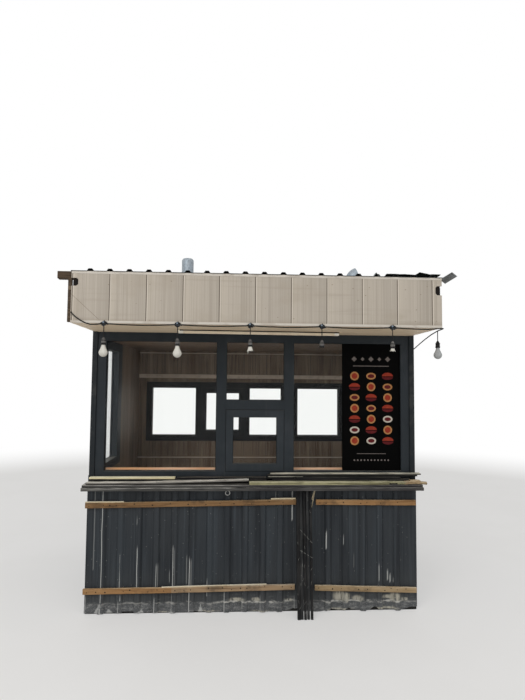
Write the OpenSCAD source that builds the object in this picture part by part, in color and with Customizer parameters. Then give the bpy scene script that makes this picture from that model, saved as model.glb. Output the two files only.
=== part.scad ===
// Street kiosk: a steel-framed box with a glazed serving front, a counter and a
// deep canopy with a panelled fascia. Millimetres, +Z up. The origin is on the
// ground at the centre of the walls, and the serving front faces -Y.

/* [Body] */
// Width over the corner posts
body_w = 2610; // [2300:10:3200]
// Depth over the corner posts
body_d = 1770; // [1600:10:2400]
// Height of the low front wall, up to the underside of the counter
counter_z = 962; // [850:1:1050]
// Height of the canopy's underside
soffit_z = 2195; // [2120:1:2500]
// Thickness of the wall panels
wall_t = 60; // [50:1:100]
// Thickness of the boards that line the room
lining_t = 16; // [8:1:25]
// Width of a corner post, seen from the front
post_w = 40; // [35:1:80]

/* [Floor] */
// Height of the welded base frame
base_h = 80; // [60:1:140]
// Width of a rail of the base frame
base_rail_w = 60; // [40:1:100]
// Number of joists between the front and back rails
base_joists = 3; // [1:1:5]
// Thickness of the floor boards
deck_t = 20; // [15:1:30]

/* [Profiled sheeting] */
// Thickness of the steel sheet
sheet_t = 1.5; // [1:0.1:3]
// Height of a rib over the back of the sheet
rib_h = 18; // [10:1:30]
// Distance from rib to rib on the walls
rib_pitch = 139; // [100:1:200]
// Width of a rib at its top
rib_top_w = 32; // [15:1:45]
// Width of a rib at its foot
rib_foot_w = 62; // [50:1:80]
// Height of the sheets' lower edge over the ground
sheet_lift = 6; // [4:1:60]
// How far the front sheets pass the corner posts
sheet_lap = 6; // [0:1:15]
// Distance of the joint between the front sheets from the centre
front_seam_x = 392; // [-600:1:600]
// Distance of the first rib from a front sheet's left edge
front_rib_start = 127; // [40:1:160]
// Distance of the first rib from the right front sheet's left edge
right_rib_start = 198; // [40:1:220]
// Distance of the first rib from the edge of a side or back sheet
rib_start = 70; // [40:1:130]

/* [Front window] */
// Width of a stile of the window frames, seen from the front
frame_face = 70; // [50:1:90]
// Height of the front frame's top and bottom rails
rail_h = 82; // [60:1:100]
// Depth of the window frames
frame_depth = 70; // [60:1:80]
// How far the front frame stands back from the face of the posts
frame_setback = 13; // [0:1:20]
// Width of the two mullions
mullion_w = 80; // [60:1:110]
// Clear width of the middle bay, which holds the serving hatch
hatch_w = 468; // [350:1:700]
// Distance of the middle bay's centre from the centre of the front
hatch_x = 0; // [-150:1:150]
// Height of the transom's underside over the hatch
transom_z = 1577; // [1450:1:1750]
// Height of the transom itself
transom_h = 81; // [50:1:100]
// Width of the hatch sash's stiles and rails
sash_face = 58; // [40:1:75]
// Depth of a sash
sash_depth = 58; // [45:1:60]
// Thickness of the glass
glass_t = 6; // [4:1:12]
// How far the glass stands behind the face of its frame
glass_inset = 22; // [12:1:40]
// How deep the glass and its beads reach into the frames
rebate = 12; // [8:1:14]

/* [Menu board] */
// Width of the board that covers the right end of the right pane
menu_w = 482; // [300:1:700]
// Thickness of the board
menu_t = 4; // [2:1:8]

/* [Side windows] */
// Height of the side window frame's underside
side_window_z = 1050; // [1030:1:1200]
// Height of the side window frame's top
side_window_top = 2140; // [1800:1:2150]
// Width of the side window's rear stile
rear_stile_w = 140; // [60:1:180]

/* [Back windows] */
// Height of the back windows' underside
back_window_z = 1145; // [1000:1:1250]
// Height of the back windows themselves
back_window_h = 655; // [500:1:850]
// Width of the back frames' stiles and rails
back_face = 65; // [50:1:80]
// Width of the wide back window's two mullions
back_mullion_w = 63; // [50:1:80]
// Distance of the wide back window's left edge from the centre
wide_window_x = -1145; // [-1160:1:-1000]
// Clear width of its left bay
wide_bay_1 = 480; // [350:1:520]
// Clear width of its middle bay, which holds a sash
wide_bay_2 = 479; // [350:1:500]
// Clear width of its right bay
wide_bay_3 = 356; // [250:1:380]
// Distance of the narrow back window's left edge from the centre
narrow_window_x = 483; // [465:1:520]
// Clear width of the narrow back window
narrow_bay = 464; // [300:1:500]
// Width of the back sash's stiles and rails
back_sash_face = 55; // [40:1:70]

/* [Door] */
// Distance of the door frame from the back wall's face
door_from_back = 130; // [80:1:220]
// Width of the wall strip between the door frame and the side window before it
door_gap = 60; // [40:1:120]
// Width over the door frame
door_w = 800; // [720:1:860]
// Height of the door frame's top over the ground
door_top = 2110; // [1950:1:2150]
// Width of a jamb of the door frame
jamb_w = 60; // [45:1:75]
// Thickness of the door leaf
leaf_t = 56; // [45:1:60]
// Width of the door leaf's stiles and rails
leaf_face = 90; // [70:1:120]
// Height of the door's lock rail, over the ground
lock_rail_z = 960; // [850:1:1100]
// Thickness of the leaf's lower panel
panel_t = 24; // [16:1:40]
// Distance of the lowest and highest hinges from the ends of the leaf
hinge_in = 150; // [80:1:300]
// Length of a hinge
hinge_l = 90; // [60:1:140]
// Length of the handle's plate
handle_plate_l = 190; // [120:1:260]

/* [Counter] */
// How far the counter stands out from the face of the posts
counter_out = 145; // [80:1:260]
// How far the counter passes the posts at each end
counter_over = 20; // [10:1:80]
// Thickness of the lower counter board
lower_board_t = 26; // [18:1:40]
// Thickness of the upper counter board
upper_board_t = 20; // [12:1:30]
// How far the upper counter board stands back from the lower one
board_step = 6; // [0:1:20]
// Depth of the window board inside the room
inner_sill_d = 150; // [80:1:220]
// Thickness of the window board
inner_sill_t = 18; // [12:1:30]

/* [Boards on the counter] */
// Thickness of the boards that lie on the counter
loose_t = 14; // [10:1:18]
// Depth of the boards, from front to back
loose_d = 58; // [50:1:62]
// How far the back row of boards stands out from the wall
back_row_out = 62; // [59:1:70]
// Distance of the front row of boards from the counter's edge
front_row_in = 12; // [8:1:16]
// Distance of the boards' left ends from the corner post
left_boards_in = 18; // [5:1:80]
// Distance from the centre to where the left-hand boards end
boards_meet_x = -50; // [-200:1:60]
// Length of the pale strip at the left end
pale_strip_l = 661; // [300:1:800]
// Length of the short dark board in the middle
middle_board_l = 140; // [60:1:200]
// Thickness of the pale slab
slab_t = 22; // [16:1:30]
// Length of the slab's thin right end
slab_tail_l = 134; // [60:1:300]
// Gap between the slab and the lump at its right
lump_gap = 4; // [2:1:40]
// Length of the lump
lump_l = 170; // [80:1:220]
// How far the lump passes the corner post
lump_out = 55; // [20:1:80]
// Distance from the corner post to the right end of the grey board in the middle layer
grey_board_in = 140; // [40:1:400]
// Length of the dark board at the left end of that one
short_board_l = 214; // [60:1:400]
// How far the topmost board at the right passes the wall's end
top_board_out = 26; // [0:1:80]

/* [Battens and slats] */
// Height of the timber battens across the front sheets
batten_h = 42; // [30:1:60]
// Thickness of the battens
batten_t = 20; // [12:1:30]
// Height of the upper battens' lower edge
upper_batten_z = 822; // [700:1:860]
// Height of the lower battens' lower edge
lower_batten_z = 164; // [100:1:260]
// Clear width that the battens leave for the slats
batten_gap = 160; // [140:1:240]
// Number of slats that lean against the front
slats = 5; // [3:1:6]
// Width of one slat
slat_w = 24; // [18:1:25]
// Depth of one slat
slat_d = 28; // [18:1:36]
// Distance of the slats' foot from the sheeting
slat_foot = 154; // [60:1:200]
// Height of the tallest slat
slat_h = 952; // [780:1:955]
// Distance of the hanging ring from the centre
ring_x = -213; // [-600:1:200]

/* [Roof] */
// How far the canopy stands out from the face of the posts
canopy_out = 625; // [350:5:900]
// How far each end of the fascia stands inside the corner posts
fascia_in = 11; // [0:1:40]
// Height of the fascia
fascia_h = 360; // [300:1:450]
// Thickness of the fascia panels
fascia_t = 10; // [8:1:16]
// Covering width of one fascia panel
panel_pitch = 251; // [100:1:300]
// Width of the first fascia panel
first_panel_w = 259; // [100:1:300]
// Width of the groove at a panel joint
groove_w = 4; // [2:0.5:8]
// Depth of the groove at a panel joint
groove_depth = 2; // [1:0.5:5]
// Thickness of the soffit boards
soffit_t = 12; // [8:1:20]
// Fall of the roof, in degrees
roof_slope = 3.3; // [1:0.1:4.5]
// How far the roof sheet passes the back wall
eaves = 60; // [40:1:150]
// How far the roof sheet passes the fascia at the front
roof_nose = 10; // [5:1:30]
// How far the roof sheet passes each end of the fascia
roof_lap = 6; // [0:1:20]
// Height of a rib of the roof sheet
roof_rib_h = 17; // [12:1:35]
// Width of a roof rib at its foot
roof_rib_foot_w = 46; // [40:1:70]
// Width of a roof rib at its top
roof_rib_top_w = 24; // [15:1:35]
// Distance from rib to rib on the roof
roof_rib_pitch = 133; // [100:1:200]
// Width of a joist, upright or rafter
rafter_w = 40; // [30:1:60]
// Height of a joist
joist_h = 60; // [40:1:70]
// Height of a rafter, and of a purlin over it
rafter_h = 50; // [40:1:60]
// Width of a purlin
purlin_w = 50; // [40:1:60]
// How far the front beam sticks out on the left
beam_out = 100; // [0:1:200]
// Depth of the channel trims along the fascia
trim_h = 17; // [10:1:30]
// Thickness of the trims' walls
trim_t = 2; // [1:0.5:3]
// Width of the side timber under the front beam's end
side_timber_w = 26; // [20:1:50]
// Width of the broken-out corners of the fascia
notch_w = 46; // [10:1:60]
// Height of the left broken-out corner
left_notch_h = 55; // [20:1:60]
// Height of the right broken-out corner
right_notch_h = 66; // [20:1:80]
// Distance from the fascia's top down to the foot of the left broken-out corner
left_notch_drop = 105; // [90:1:160]
// Distance from the fascia's top down to the foot of the right broken-out corner
right_notch_drop = 127; // [100:1:180]

/* [Roof fittings] */
// Diameter of the vent pipe
pipe_d = 104; // [80:1:140]
// Height of the vent pipe over the roof
pipe_h = 392; // [200:1:600]
// Distance of the vent pipe from the centre
pipe_x = -600; // [-1000:1:-200]
// Diameter of the short elbow vent
elbow_d = 110; // [80:1:140]
// Distance of the elbow vent from the centre
elbow_x = 880; // [300:1:1000]
// Distance of both vents from the back wall's face
vent_from_back = 1330; // [900:1:1500]
// Length of the elbow vent's upright
elbow_h = 215; // [120:1:300]
// Angle through which the elbow vent bends
elbow_bend = 70; // [30:1:90]
// Thickness of the vents' steel
vent_t = 3; // [1:0.5:5]
// Width of the loose sheet at the right end of the roof
loose_sheet_w = 392; // [200:1:700]
// Length of the loose sheet, from front to back
loose_sheet_l = 700; // [300:1:1200]
// Width of the bent flashing at the right verge
verge_w = 106; // [60:1:200]
// Length of the bent flashing, from front to back
verge_l = 220; // [100:1:600]
// How far the flashing's fold stands over the roof sheet
verge_rise = 42; // [10:1:60]

/* [Lights] */
// Number of lamps along the fascia
front_lamps = 5; // [3:1:5]
// Distance from lamp to lamp
lamp_pitch = 500; // [300:1:500]
// Distance of the first lamp from the fascia's left end
first_lamp = 229; // [229:1:300]
// Diameter of the cable
cable_d = 8; // [6:1:12]
// Length of the lead from the cable to a lamp holder
lamp_drop = 92; // [60:1:160]
// Length of the lead from the cable to the corner lamp's holder
corner_lamp_drop = 70; // [40:1:160]
// Diameter of a lamp holder
holder_d = 34; // [28:1:42]
// Length of a lamp holder
holder_h = 50; // [40:1:70]
// Diameter of a bulb
bulb_d = 60; // [50:1:80]
// Length of the bulb below its holder
bulb_h = 82; // [70:1:110]

/* [Hidden] */

// Clearance round a sash or leaf that opens
sash_gap = 0.5;
// Gap between the ends of two loose boards in one row
board_end_gap = 10;
// How far the third layer of boards stands back behind the others
third_set_back = 10;
// How much thicker than two boards the packs under the upper layers are
pack_spare = 4;
// How much thicker than the others a thick board is, and how much thinner a thin one
thick_spare = 3;
thin_spare = 2;
// Distance of the topmost board's left end from the boards under it
top_board_in = 22;
// Distance of the dark boards' right end from the corner post's face
right_boards_in = 20;
// How far the pale slab stands out before the front row of boards
slab_set_out = 8;
// How much the slab is thicker, and stands farther out, than the lump
slab_over_lump = 2;
// Clearance between a pane or board and what holds it
fit = 0.3;
// How far a cutting shape passes the face that it cuts
cut = 1;
// How far a sash stands proud of its frame
sash_proud = 3;
// How far the door leaf stands back behind the wall's face
leaf_in = 2;
// Height of the ceiling over the side windows
ceiling_gap = 5;
// Height of the glass over the window board
sill_drop = 5;
// Distance of the cable from the fascia's right end
side_cable_gap = 9;
// Distance of the corner lamp behind the fascia
corner_lamp_back = 110;
// How far the cable has sunk at the corner lamp, and from there to the wall
corner_dip = 6;
wall_dip = 98;
// How far the left-hand battens pass the corner, and the right-hand ones end before it
batten_left_out = 12;
batten_right_in = 8;
// How far the gap in the battens lies to the right of the sheets' joint
batten_gap_shift = 18;
// How far the gap in the lower battens lies to the left of the gap in the upper ones
lower_batten_shift = 8;
// How far each end of a batten lies above its stated height, left end first
upper_left_tilt = [-11, 12];
upper_right_tilt = [10, 3];
lower_left_tilt = [-6, 12];
lower_right_tilt = [4, -23];

half_w = body_w / 2;
half_d = body_d / 2;
wall_top = soffit_z + soffit_t;
deck_z = base_h + deck_t;
inner_x = half_w - wall_t - lining_t;
inner_y = half_d - wall_t - lining_t;
rib_face = half_d + rib_h;
sill_z = counter_z + lower_board_t + upper_board_t;
frame_front = -half_d + frame_setback;
frame_back = frame_front + frame_depth;
post_d = frame_back + half_d;
glass_top = wall_top - rail_h;
glass_z = sill_z + rail_h;
glass_y = frame_front + glass_inset;
bay_left = hatch_x - hatch_w / 2;
bay_right = hatch_x + hatch_w / 2;
opening_half = half_w - post_w - frame_face;
window_front = frame_back;
door_rear = half_d - door_from_back;
door_front = door_rear - door_w;
window_rear = door_front - door_gap;
fascia_y = -half_d - canopy_out;
fascia_w = body_w - 2 * fascia_in;
fascia_half = fascia_w / 2;
fascia_top = soffit_z + fascia_h;
joist_front = fascia_y + fascia_t;
roof_z0 = fascia_top - trim_t;
slope = tan(roof_slope);
ceiling_z = side_window_top + ceiling_gap;
first_lamp_x = -fascia_half + first_lamp;
cable_y = fascia_y - trim_t - cable_d / 2 - fit;
cable_z = soffit_z - cable_d / 2;
side_cable_x = fascia_half + side_cable_gap;
side_lamp_y = fascia_y + corner_lamp_back;

// Height of the roof sheet's underside at a distance along the building
function roof_z(y) = roof_z0 - (y - fascia_y) * slope;

// A plate in the X-Z plane, from y to y + t
module xz_plate(y, t) {
    translate([0, y + t, 0]) rotate([90, 0, 0]) linear_extrude(t) children();
}

// A plate in the Y-Z plane, from x to x + t
module yz_plate(x, t) {
    translate([x, 0, 0]) rotate([90, 0, 90]) linear_extrude(t) children();
}

module rect(x0, y0, x1, y1) {
    translate([x0, y0]) square([x1 - x0, y1 - y0]);
}

// Cross-section of a profiled sheet with ribs of height h, its back on the X axis
// and its ribs to -Y
module sheet_section(w, first, pitch, h, foot, top) {
    ribs = [for (x = [first : pitch : w - foot / 2]) x];
    outer = [for (x = ribs) each [[x - foot / 2, -sheet_t], [x - top / 2, -h],
        [x + top / 2, -h], [x + foot / 2, -sheet_t]]];
    inner = [for (i = [len(outer) - 1 : -1 : 0]) [outer[i].x, outer[i].y + sheet_t]];
    polygon(concat([[0, -sheet_t]], outer, [[w, -sheet_t], [w, 0]], inner, [[0, 0]]));
}

module profiled_sheet(w, l, first, pitch, h = rib_h, foot = rib_foot_w, top = rib_top_w) {
    linear_extrude(l) sheet_section(w, first, pitch, h, foot, top);
}

// A ring in a plate, face wide
module ring(x0, z0, x1, z1, face) {
    difference() {
        rect(x0, z0, x1, z1);
        rect(x0 + face, z0 + face, x1 - face, z1 - face);
    }
}

// A rectangle grown by g on every side
module grown(x0, z0, x1, z1, g) {
    rect(x0 - g, z0 - g, x1 + g, z1 + g);
}

module base_frame() {
    inner_l = body_w - 2 * base_rail_w;
    color("dimgray") linear_extrude(base_h) {
        difference() {
            square([body_w, body_d], center = true);
            square([inner_l, body_d - 2 * base_rail_w], center = true);
        }
        for (i = [1 : base_joists])
            translate([-half_w + i * body_w / (base_joists + 1), 0])
                square([base_rail_w, body_d - 2 * base_rail_w + cut], center = true);
    }
}

module floor_deck() {
    color("saddlebrown") translate([-inner_x - lining_t, -inner_y - lining_t, base_h])
        cube([2 * (inner_x + lining_t), 2 * (inner_y + lining_t), deck_t]);
}

module corner_posts() {
    color("#34383b") for (sx = [-1, 1], sy = [-1, 1])
        translate([sx * (half_w - post_w / 2), sy * (half_d - post_d / 2), (wall_top + base_h) / 2])
            cube([post_w, post_d, wall_top - base_h], center = true);
}

module front_wall() {
    color("#3a3f41") translate([-half_w + post_w, -half_d, base_h])
        cube([body_w - 2 * post_w, wall_t, counter_z - base_h]);
}

module left_wall() {
    color("#3a3f41") yz_plate(-half_w, wall_t) difference() {
        rect(window_front, base_h, -window_front, wall_top);
        rect(window_front - cut, side_window_z, window_rear, side_window_top);
    }
}

module right_wall() {
    color("#3a3f41") yz_plate(half_w - wall_t, wall_t) difference() {
        rect(window_front, base_h, -window_front, wall_top);
        rect(window_front - cut, side_window_z, window_rear, side_window_top);
        rect(door_front, base_h - cut, door_rear, door_top);
    }
}

wide_bays = [wide_bay_1, wide_bay_2, wide_bay_3];
wide_window_w = 2 * back_face + 2 * back_mullion_w + wide_bay_1 + wide_bay_2 + wide_bay_3;
narrow_window_w = 2 * back_face + narrow_bay;
back_window_top = back_window_z + back_window_h;

// Outlines of the two back window frames, grown by g on every side
module back_window_holes(g) {
    rect(wide_window_x - g, back_window_z - g, wide_window_x + wide_window_w + g, back_window_top + g);
    rect(narrow_window_x - g, back_window_z - g, narrow_window_x + narrow_window_w + g, back_window_top + g);
}

module back_wall() {
    color("#3a3f41") xz_plate(half_d - wall_t, wall_t) difference() {
        rect(-half_w + post_w, base_h, half_w - post_w, wall_top);
        back_window_holes(0);
    }
}

module wall_linings() {
    color("#6b5d4c") {
        translate([-inner_x - lining_t, -inner_y - lining_t, deck_z])
            cube([2 * (inner_x + lining_t), lining_t, sill_z - deck_z]);
        yz_plate(-inner_x - lining_t, lining_t) difference() {
            rect(frame_back, deck_z, inner_y - fit, wall_top);
            rect(window_front - cut, side_window_z, window_rear, wall_top + cut);
        }
        yz_plate(inner_x, lining_t) difference() {
            rect(frame_back, deck_z, inner_y - fit, wall_top);
            rect(window_front - cut, side_window_z, window_rear, wall_top + cut);
            rect(door_front, deck_z - cut, door_rear, door_top);
        }
        xz_plate(inner_y, lining_t) difference() {
            rect(-inner_x - lining_t, deck_z, inner_x + lining_t, wall_top);
            back_window_holes(0);
        }
    }
}

module front_sheets() {
    left_x = -half_w - sheet_lap;
    h = counter_z - sheet_lift;
    color("#3a3f41") {
        translate([left_x, -half_d, sheet_lift])
            profiled_sheet(front_seam_x - left_x, h, front_rib_start, rib_pitch);
        translate([front_seam_x + sash_gap, -half_d, sheet_lift])
            profiled_sheet(half_w + sheet_lap - front_seam_x - sash_gap, h, right_rib_start, rib_pitch);
    }
}

// Sheeting of a side wall: low under the window, full height behind y0
module side_sheets(y0, low_end) {
    low_h = side_window_z - sheet_lift;
    translate([half_w, -half_d, sheet_lift])
        rotate([0, 0, 90]) profiled_sheet(low_end + half_d, low_h, rib_start, rib_pitch);
    translate([half_w, y0, sheet_lift])
        rotate([0, 0, 90]) profiled_sheet(half_d - y0, wall_top - sheet_lift, rib_start, rib_pitch);
}

module left_sheets() {
    color("#3a3f41") mirror([1, 0, 0]) side_sheets(window_rear + sash_gap, window_rear);
}

module right_sheets() {
    color("#3a3f41") side_sheets(door_rear, door_front);
}

module back_sheet() {
    color("#3a3f41") difference() {
        translate([half_w + sheet_lap, half_d, sheet_lift]) rotate([0, 0, 180])
            profiled_sheet(body_w + 2 * sheet_lap, wall_top - sheet_lift, rib_start, rib_pitch);
        xz_plate(half_d - cut, rib_h + 2 * cut) back_window_holes(fit);
    }
}

// A batten across the front sheets from x0 to x1, with its lower edge at height z
// and each end raised by its own tilt
module batten(x0, x1, z, tilt) {
    xz_plate(-rib_face - batten_t, batten_t) polygon([[x0, z + tilt[0]], [x1, z + tilt[1]],
        [x1, z + tilt[1] + batten_h], [x0, z + tilt[0] + batten_h]]);
}

// Ends of the battens: at the left and right corners, and on either side of the slats
batten_left_x = -half_w - batten_left_out;
batten_right_x = half_w - batten_right_in;
slats_left_x = front_seam_x - batten_gap / 2 + batten_gap_shift;
slats_right_x = slats_left_x + batten_gap;

module wall_battens() {
    color("#a47c52") {
        batten(batten_left_x, slats_left_x, upper_batten_z, upper_left_tilt);
        batten(slats_right_x, batten_right_x, upper_batten_z, upper_right_tilt);
        batten(batten_left_x, slats_left_x - lower_batten_shift, lower_batten_z, lower_left_tilt);
        batten(slats_right_x - lower_batten_shift, batten_right_x, lower_batten_z, lower_right_tilt);
    }
}

module slat_bundle() {
    step = slat_w + 2 * fit;
    first = front_seam_x - (slats * step) / 2;
    uneven_top = 9;
    uneven_foot = 5;
    color("#222324") for (i = [0 : slats - 1]) {
        top = slat_h - uneven_top * (i % 3);
        foot = -rib_face - slat_foot + uneven_foot * (i % 2);
        head = -rib_face - fit;
        yz_plate(first + i * step, slat_w)
            polygon([[foot, 0], [foot + slat_d, 0], [head, top], [head - slat_d, top]]);
    }
}

// A counter board that runs through between the corner posts
module counter_plate(z, t, front, over) {
    translate([0, 0, z]) linear_extrude(t) {
        rect(-half_w - over, front, half_w + over, -half_d);
        rect(-half_w + post_w, front, half_w - post_w, -half_d + wall_t);
    }
}

counter_front = -half_d - counter_out;

module counter_boards() {
    color("#3b3a38") {
        counter_plate(counter_z, lower_board_t - fit, counter_front, counter_over);
        counter_plate(counter_z + lower_board_t, upper_board_t, counter_front + board_step,
            counter_over - board_step);
    }
}

// A loose board on the counter from x0 to x1, with its front edge at y and its
// underside at height z over the counter boards, higher by rise at its right end
module loose_board(x0, x1, y, z, t = loose_t, rise = 0, d = loose_d) {
    under = sill_z + z;
    xz_plate(y, d) polygon([[x0, under], [x1, under + rise], [x1, under + rise + t], [x0, under + t]]);
}

// Front edges of the two rows of boards
back_row_y = -half_d - back_row_out;
front_row_y = counter_front + front_row_in;
// Left ends of the boards at the left, and of those at the right
left_x = -half_w + left_boards_in;
right_x = boards_meet_x + middle_board_l + board_end_gap;
// Height of the second layer in the front row, and of the upper layers at the back
second_z = loose_t + fit;
pack_t = 2 * loose_t + pack_spare;
thick_t = loose_t + thick_spare;
thin_t = loose_t - thin_spare;
third_z = pack_t + thick_t + fit;
top_z = third_z + loose_t + fit;
grey_board_x = right_x + short_board_l + board_end_gap;
lump_x = half_w + lump_out - lump_l;
slab_end_x = lump_x - lump_gap;
pale_strip_end = left_x + pale_strip_l;
slab_y = front_row_y - slab_set_out;

module dark_boards() {
    color("#2e2d2c") {
        loose_board(left_x, boards_meet_x, front_row_y, 0, t = loose_t - fit);
        loose_board(left_x, boards_meet_x, back_row_y, 0, t = pack_t - fit);
        loose_board(pale_strip_end + board_end_gap, right_x - board_end_gap, back_row_y, pack_t);
        loose_board(boards_meet_x + board_end_gap, right_x - board_end_gap, back_row_y, 0, t = pack_t - fit);
        loose_board(right_x, half_w - right_boards_in, back_row_y, 0, t = pack_t - fit);
        loose_board(right_x, grey_board_x - board_end_gap, back_row_y, pack_t, t = thick_t);
        loose_board(right_x, half_w, back_row_y + third_set_back, third_z, d = loose_d - third_set_back);
    }
}

module grey_boards() {
    color("#8a8781") {
        loose_board(left_x, boards_meet_x, front_row_y, second_z, t = thick_t, rise = loose_t);
        loose_board(grey_board_x, half_w - grey_board_in, back_row_y, pack_t, t = thick_t);
        loose_board(right_x + top_board_in, half_w + top_board_out, back_row_y, top_z, t = thin_t);
    }
}

module pale_boards() {
    color("#cfc39a") {
        loose_board(left_x, pale_strip_end, back_row_y, pack_t);
        loose_board(boards_meet_x + lump_gap, slab_end_x - slab_tail_l, slab_y, 0, t = slab_t);
        loose_board(slab_end_x - slab_tail_l, slab_end_x, slab_y, 0);
        loose_board(lump_x, lump_x + lump_l, slab_y + slab_over_lump, 0, t = slab_t - slab_over_lump);
    }
}

module hanging_ring() {
    ring_r = 17;
    wire_r = 3;
    ring_drop = 36;
    ring_clearance = 10;
    ring_z = counter_z - ring_drop;
    ring_y = -rib_face - ring_clearance;
    hook_z = ring_r + wire_r + fit;
    color("whitesmoke") translate([ring_x, ring_y, ring_z]) {
        rotate([90, 0, 0]) rotate_extrude($fn = 24) translate([ring_r, 0]) circle(wire_r, $fn = 16);
        translate([0, 0, hook_z]) cylinder(h = counter_z - ring_z - hook_z, r = wire_r);
    }
}

// The front frame's glazed bays, grown by g
module front_bays(g) {
    grown(-opening_half, glass_z, bay_left - mullion_w, glass_top, g);
    grown(bay_right + mullion_w, glass_z, opening_half, glass_top, g);
    grown(bay_left, transom_z + transom_h, bay_right, glass_top, g);
}

module front_window_frame() {
    bead_y = glass_y + glass_t + fit;
    color("#363b3f") {
        difference() {
            xz_plate(frame_front, frame_depth) difference() {
                rect(-half_w + post_w, sill_z, half_w - post_w, wall_top);
                rect(bay_left, glass_z, bay_right, transom_z);
                front_bays(0);
            }
            xz_plate(glass_y, frame_depth) front_bays(rebate);
        }
        xz_plate(bead_y, frame_back - bead_y) difference() {
            front_bays(rebate - fit);
            front_bays(0);
        }
    }
}

// The hatch sash's glazed bay, grown by g
module hatch_bay(g) {
    inset = sash_gap + sash_face;
    grown(bay_left + inset, glass_z + inset, bay_right - inset, transom_z - inset, g);
}

module hatch_sash() {
    sash_front = frame_front - sash_proud;
    bead_y = glass_y + glass_t + fit;
    color("#3c4145") {
        difference() {
            xz_plate(sash_front, sash_depth) ring(bay_left + sash_gap, glass_z + sash_gap,
                bay_right - sash_gap, transom_z - sash_gap, sash_face);
            xz_plate(glass_y, sash_depth) hatch_bay(rebate);
        }
        xz_plate(bead_y, sash_front + sash_depth - bead_y) difference() {
            hatch_bay(rebate - fit);
            hatch_bay(0);
        }
    }
}

module front_glass() {
    color("lightblue", 0.3) xz_plate(glass_y, glass_t) {
        front_bays(rebate - fit);
        hatch_bay(rebate - fit);
    }
}

module menu_board() {
    color("#1c1c1b") xz_plate(glass_y - menu_t, menu_t)
        rect(opening_half - fit - menu_w, glass_z + fit, opening_half - fit, glass_top - fit);
}

module inner_sill() {
    color("#c9965f") translate([-inner_x + fit, frame_back, glass_z - sill_drop - inner_sill_t])
        cube([2 * (inner_x - fit), inner_sill_d, inner_sill_t]);
}

side_glass_x = inner_x + frame_depth - glass_inset;

// The right side window's glazed bay, grown by g
module side_bay(g) {
    grown(window_front + frame_face, side_window_z + frame_face,
        window_rear - rear_stile_w, side_window_top - frame_face, g);
}

// Frame of the right side window, with its wider rear stile, and its beads
module side_window_frame() {
    color("#363b3f") {
        difference() {
            yz_plate(inner_x + fit, frame_depth) difference() {
                rect(window_front, side_window_z, window_rear, side_window_top);
                side_bay(0);
            }
            yz_plate(inner_x, frame_depth - glass_inset + glass_t) side_bay(rebate);
        }
        yz_plate(inner_x + fit, frame_depth - glass_inset - 2 * fit) difference() {
            side_bay(rebate - fit);
            side_bay(0);
        }
    }
}

module side_window_frames() {
    side_window_frame();
    mirror([1, 0, 0]) side_window_frame();
}

module side_window_glass() {
    color("lightblue", 0.3) for (m = [0, 1]) mirror([m, 0, 0])
        yz_plate(side_glass_x, glass_t) side_bay(rebate - fit);
}

// Left edge of bay i of the wide back window
function bay_x(i) = wide_window_x + back_face
    + (i > 0 ? wide_bays[0] + back_mullion_w : 0) + (i > 1 ? wide_bays[1] + back_mullion_w : 0);
bay_z0 = back_window_z + back_face;
bay_z1 = back_window_top - back_face;
sash_x0 = bay_x(1) + sash_gap;
sash_x1 = bay_x(1) + wide_bay_2 - sash_gap;

// The back frames' glazed bays, grown by g
module back_bays(g) {
    for (i = [0, 2]) grown(bay_x(i), bay_z0, bay_x(i) + wide_bays[i], bay_z1, g);
    grown(narrow_window_x + back_face, bay_z0, narrow_window_x + back_face + narrow_bay, bay_z1, g);
}

// The back sash's glazed bay, grown by g
module back_sash_bay(g) {
    grown(sash_x0 + back_sash_face, bay_z0 + sash_gap + back_sash_face,
        sash_x1 - back_sash_face, bay_z1 - sash_gap - back_sash_face, g);
}

back_glass_y = half_d - glass_inset - glass_t;
back_frame_y = half_d - frame_depth;
back_sash_y = back_frame_y - sash_proud;

module back_window_frames() {
    color("#363b3f") {
        difference() {
            xz_plate(back_frame_y, frame_depth) difference() {
                back_window_holes(0);
                rect(bay_x(1), bay_z0, bay_x(1) + wide_bay_2, bay_z1);
                back_bays(0);
            }
            xz_plate(back_frame_y - cut, frame_depth - glass_inset + cut) back_bays(rebate);
        }
        xz_plate(back_frame_y, back_glass_y - back_frame_y - fit) difference() {
            back_bays(rebate - fit);
            back_bays(0);
        }
        difference() {
            xz_plate(back_sash_y, sash_depth)
                ring(sash_x0, bay_z0 + sash_gap, sash_x1, bay_z1 - sash_gap, back_sash_face);
            xz_plate(back_sash_y - cut, back_glass_y + glass_t - back_sash_y + cut) back_sash_bay(rebate);
        }
        xz_plate(back_sash_y, back_glass_y - back_sash_y - fit) difference() {
            back_sash_bay(rebate - fit);
            back_sash_bay(0);
        }
    }
}

module back_glass() {
    color("lightblue", 0.3) xz_plate(back_glass_y, glass_t) {
        back_bays(rebate - fit);
        back_sash_bay(rebate - fit);
    }
}

leaf_front = door_front + jamb_w + sash_gap;
leaf_rear = door_rear - jamb_w - sash_gap;
leaf_z = deck_z + sash_gap;
leaf_top = door_top - jamb_w - sash_gap;
leaf_x = half_w - leaf_in - leaf_t;
panel_z = leaf_z + leaf_face;
light_z = lock_rail_z + leaf_face;

// A hinge on the door frame's face at height z
module hinge(z) {
    barrel_r = 8;
    flap_t = 3;
    translate([half_w + fit, door_rear - jamb_w, z]) {
        translate([barrel_r, 0, 0]) cylinder(h = hinge_l, r = barrel_r);
        cube([flap_t, jamb_w / 2, hinge_l]);
    }
}

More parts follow.
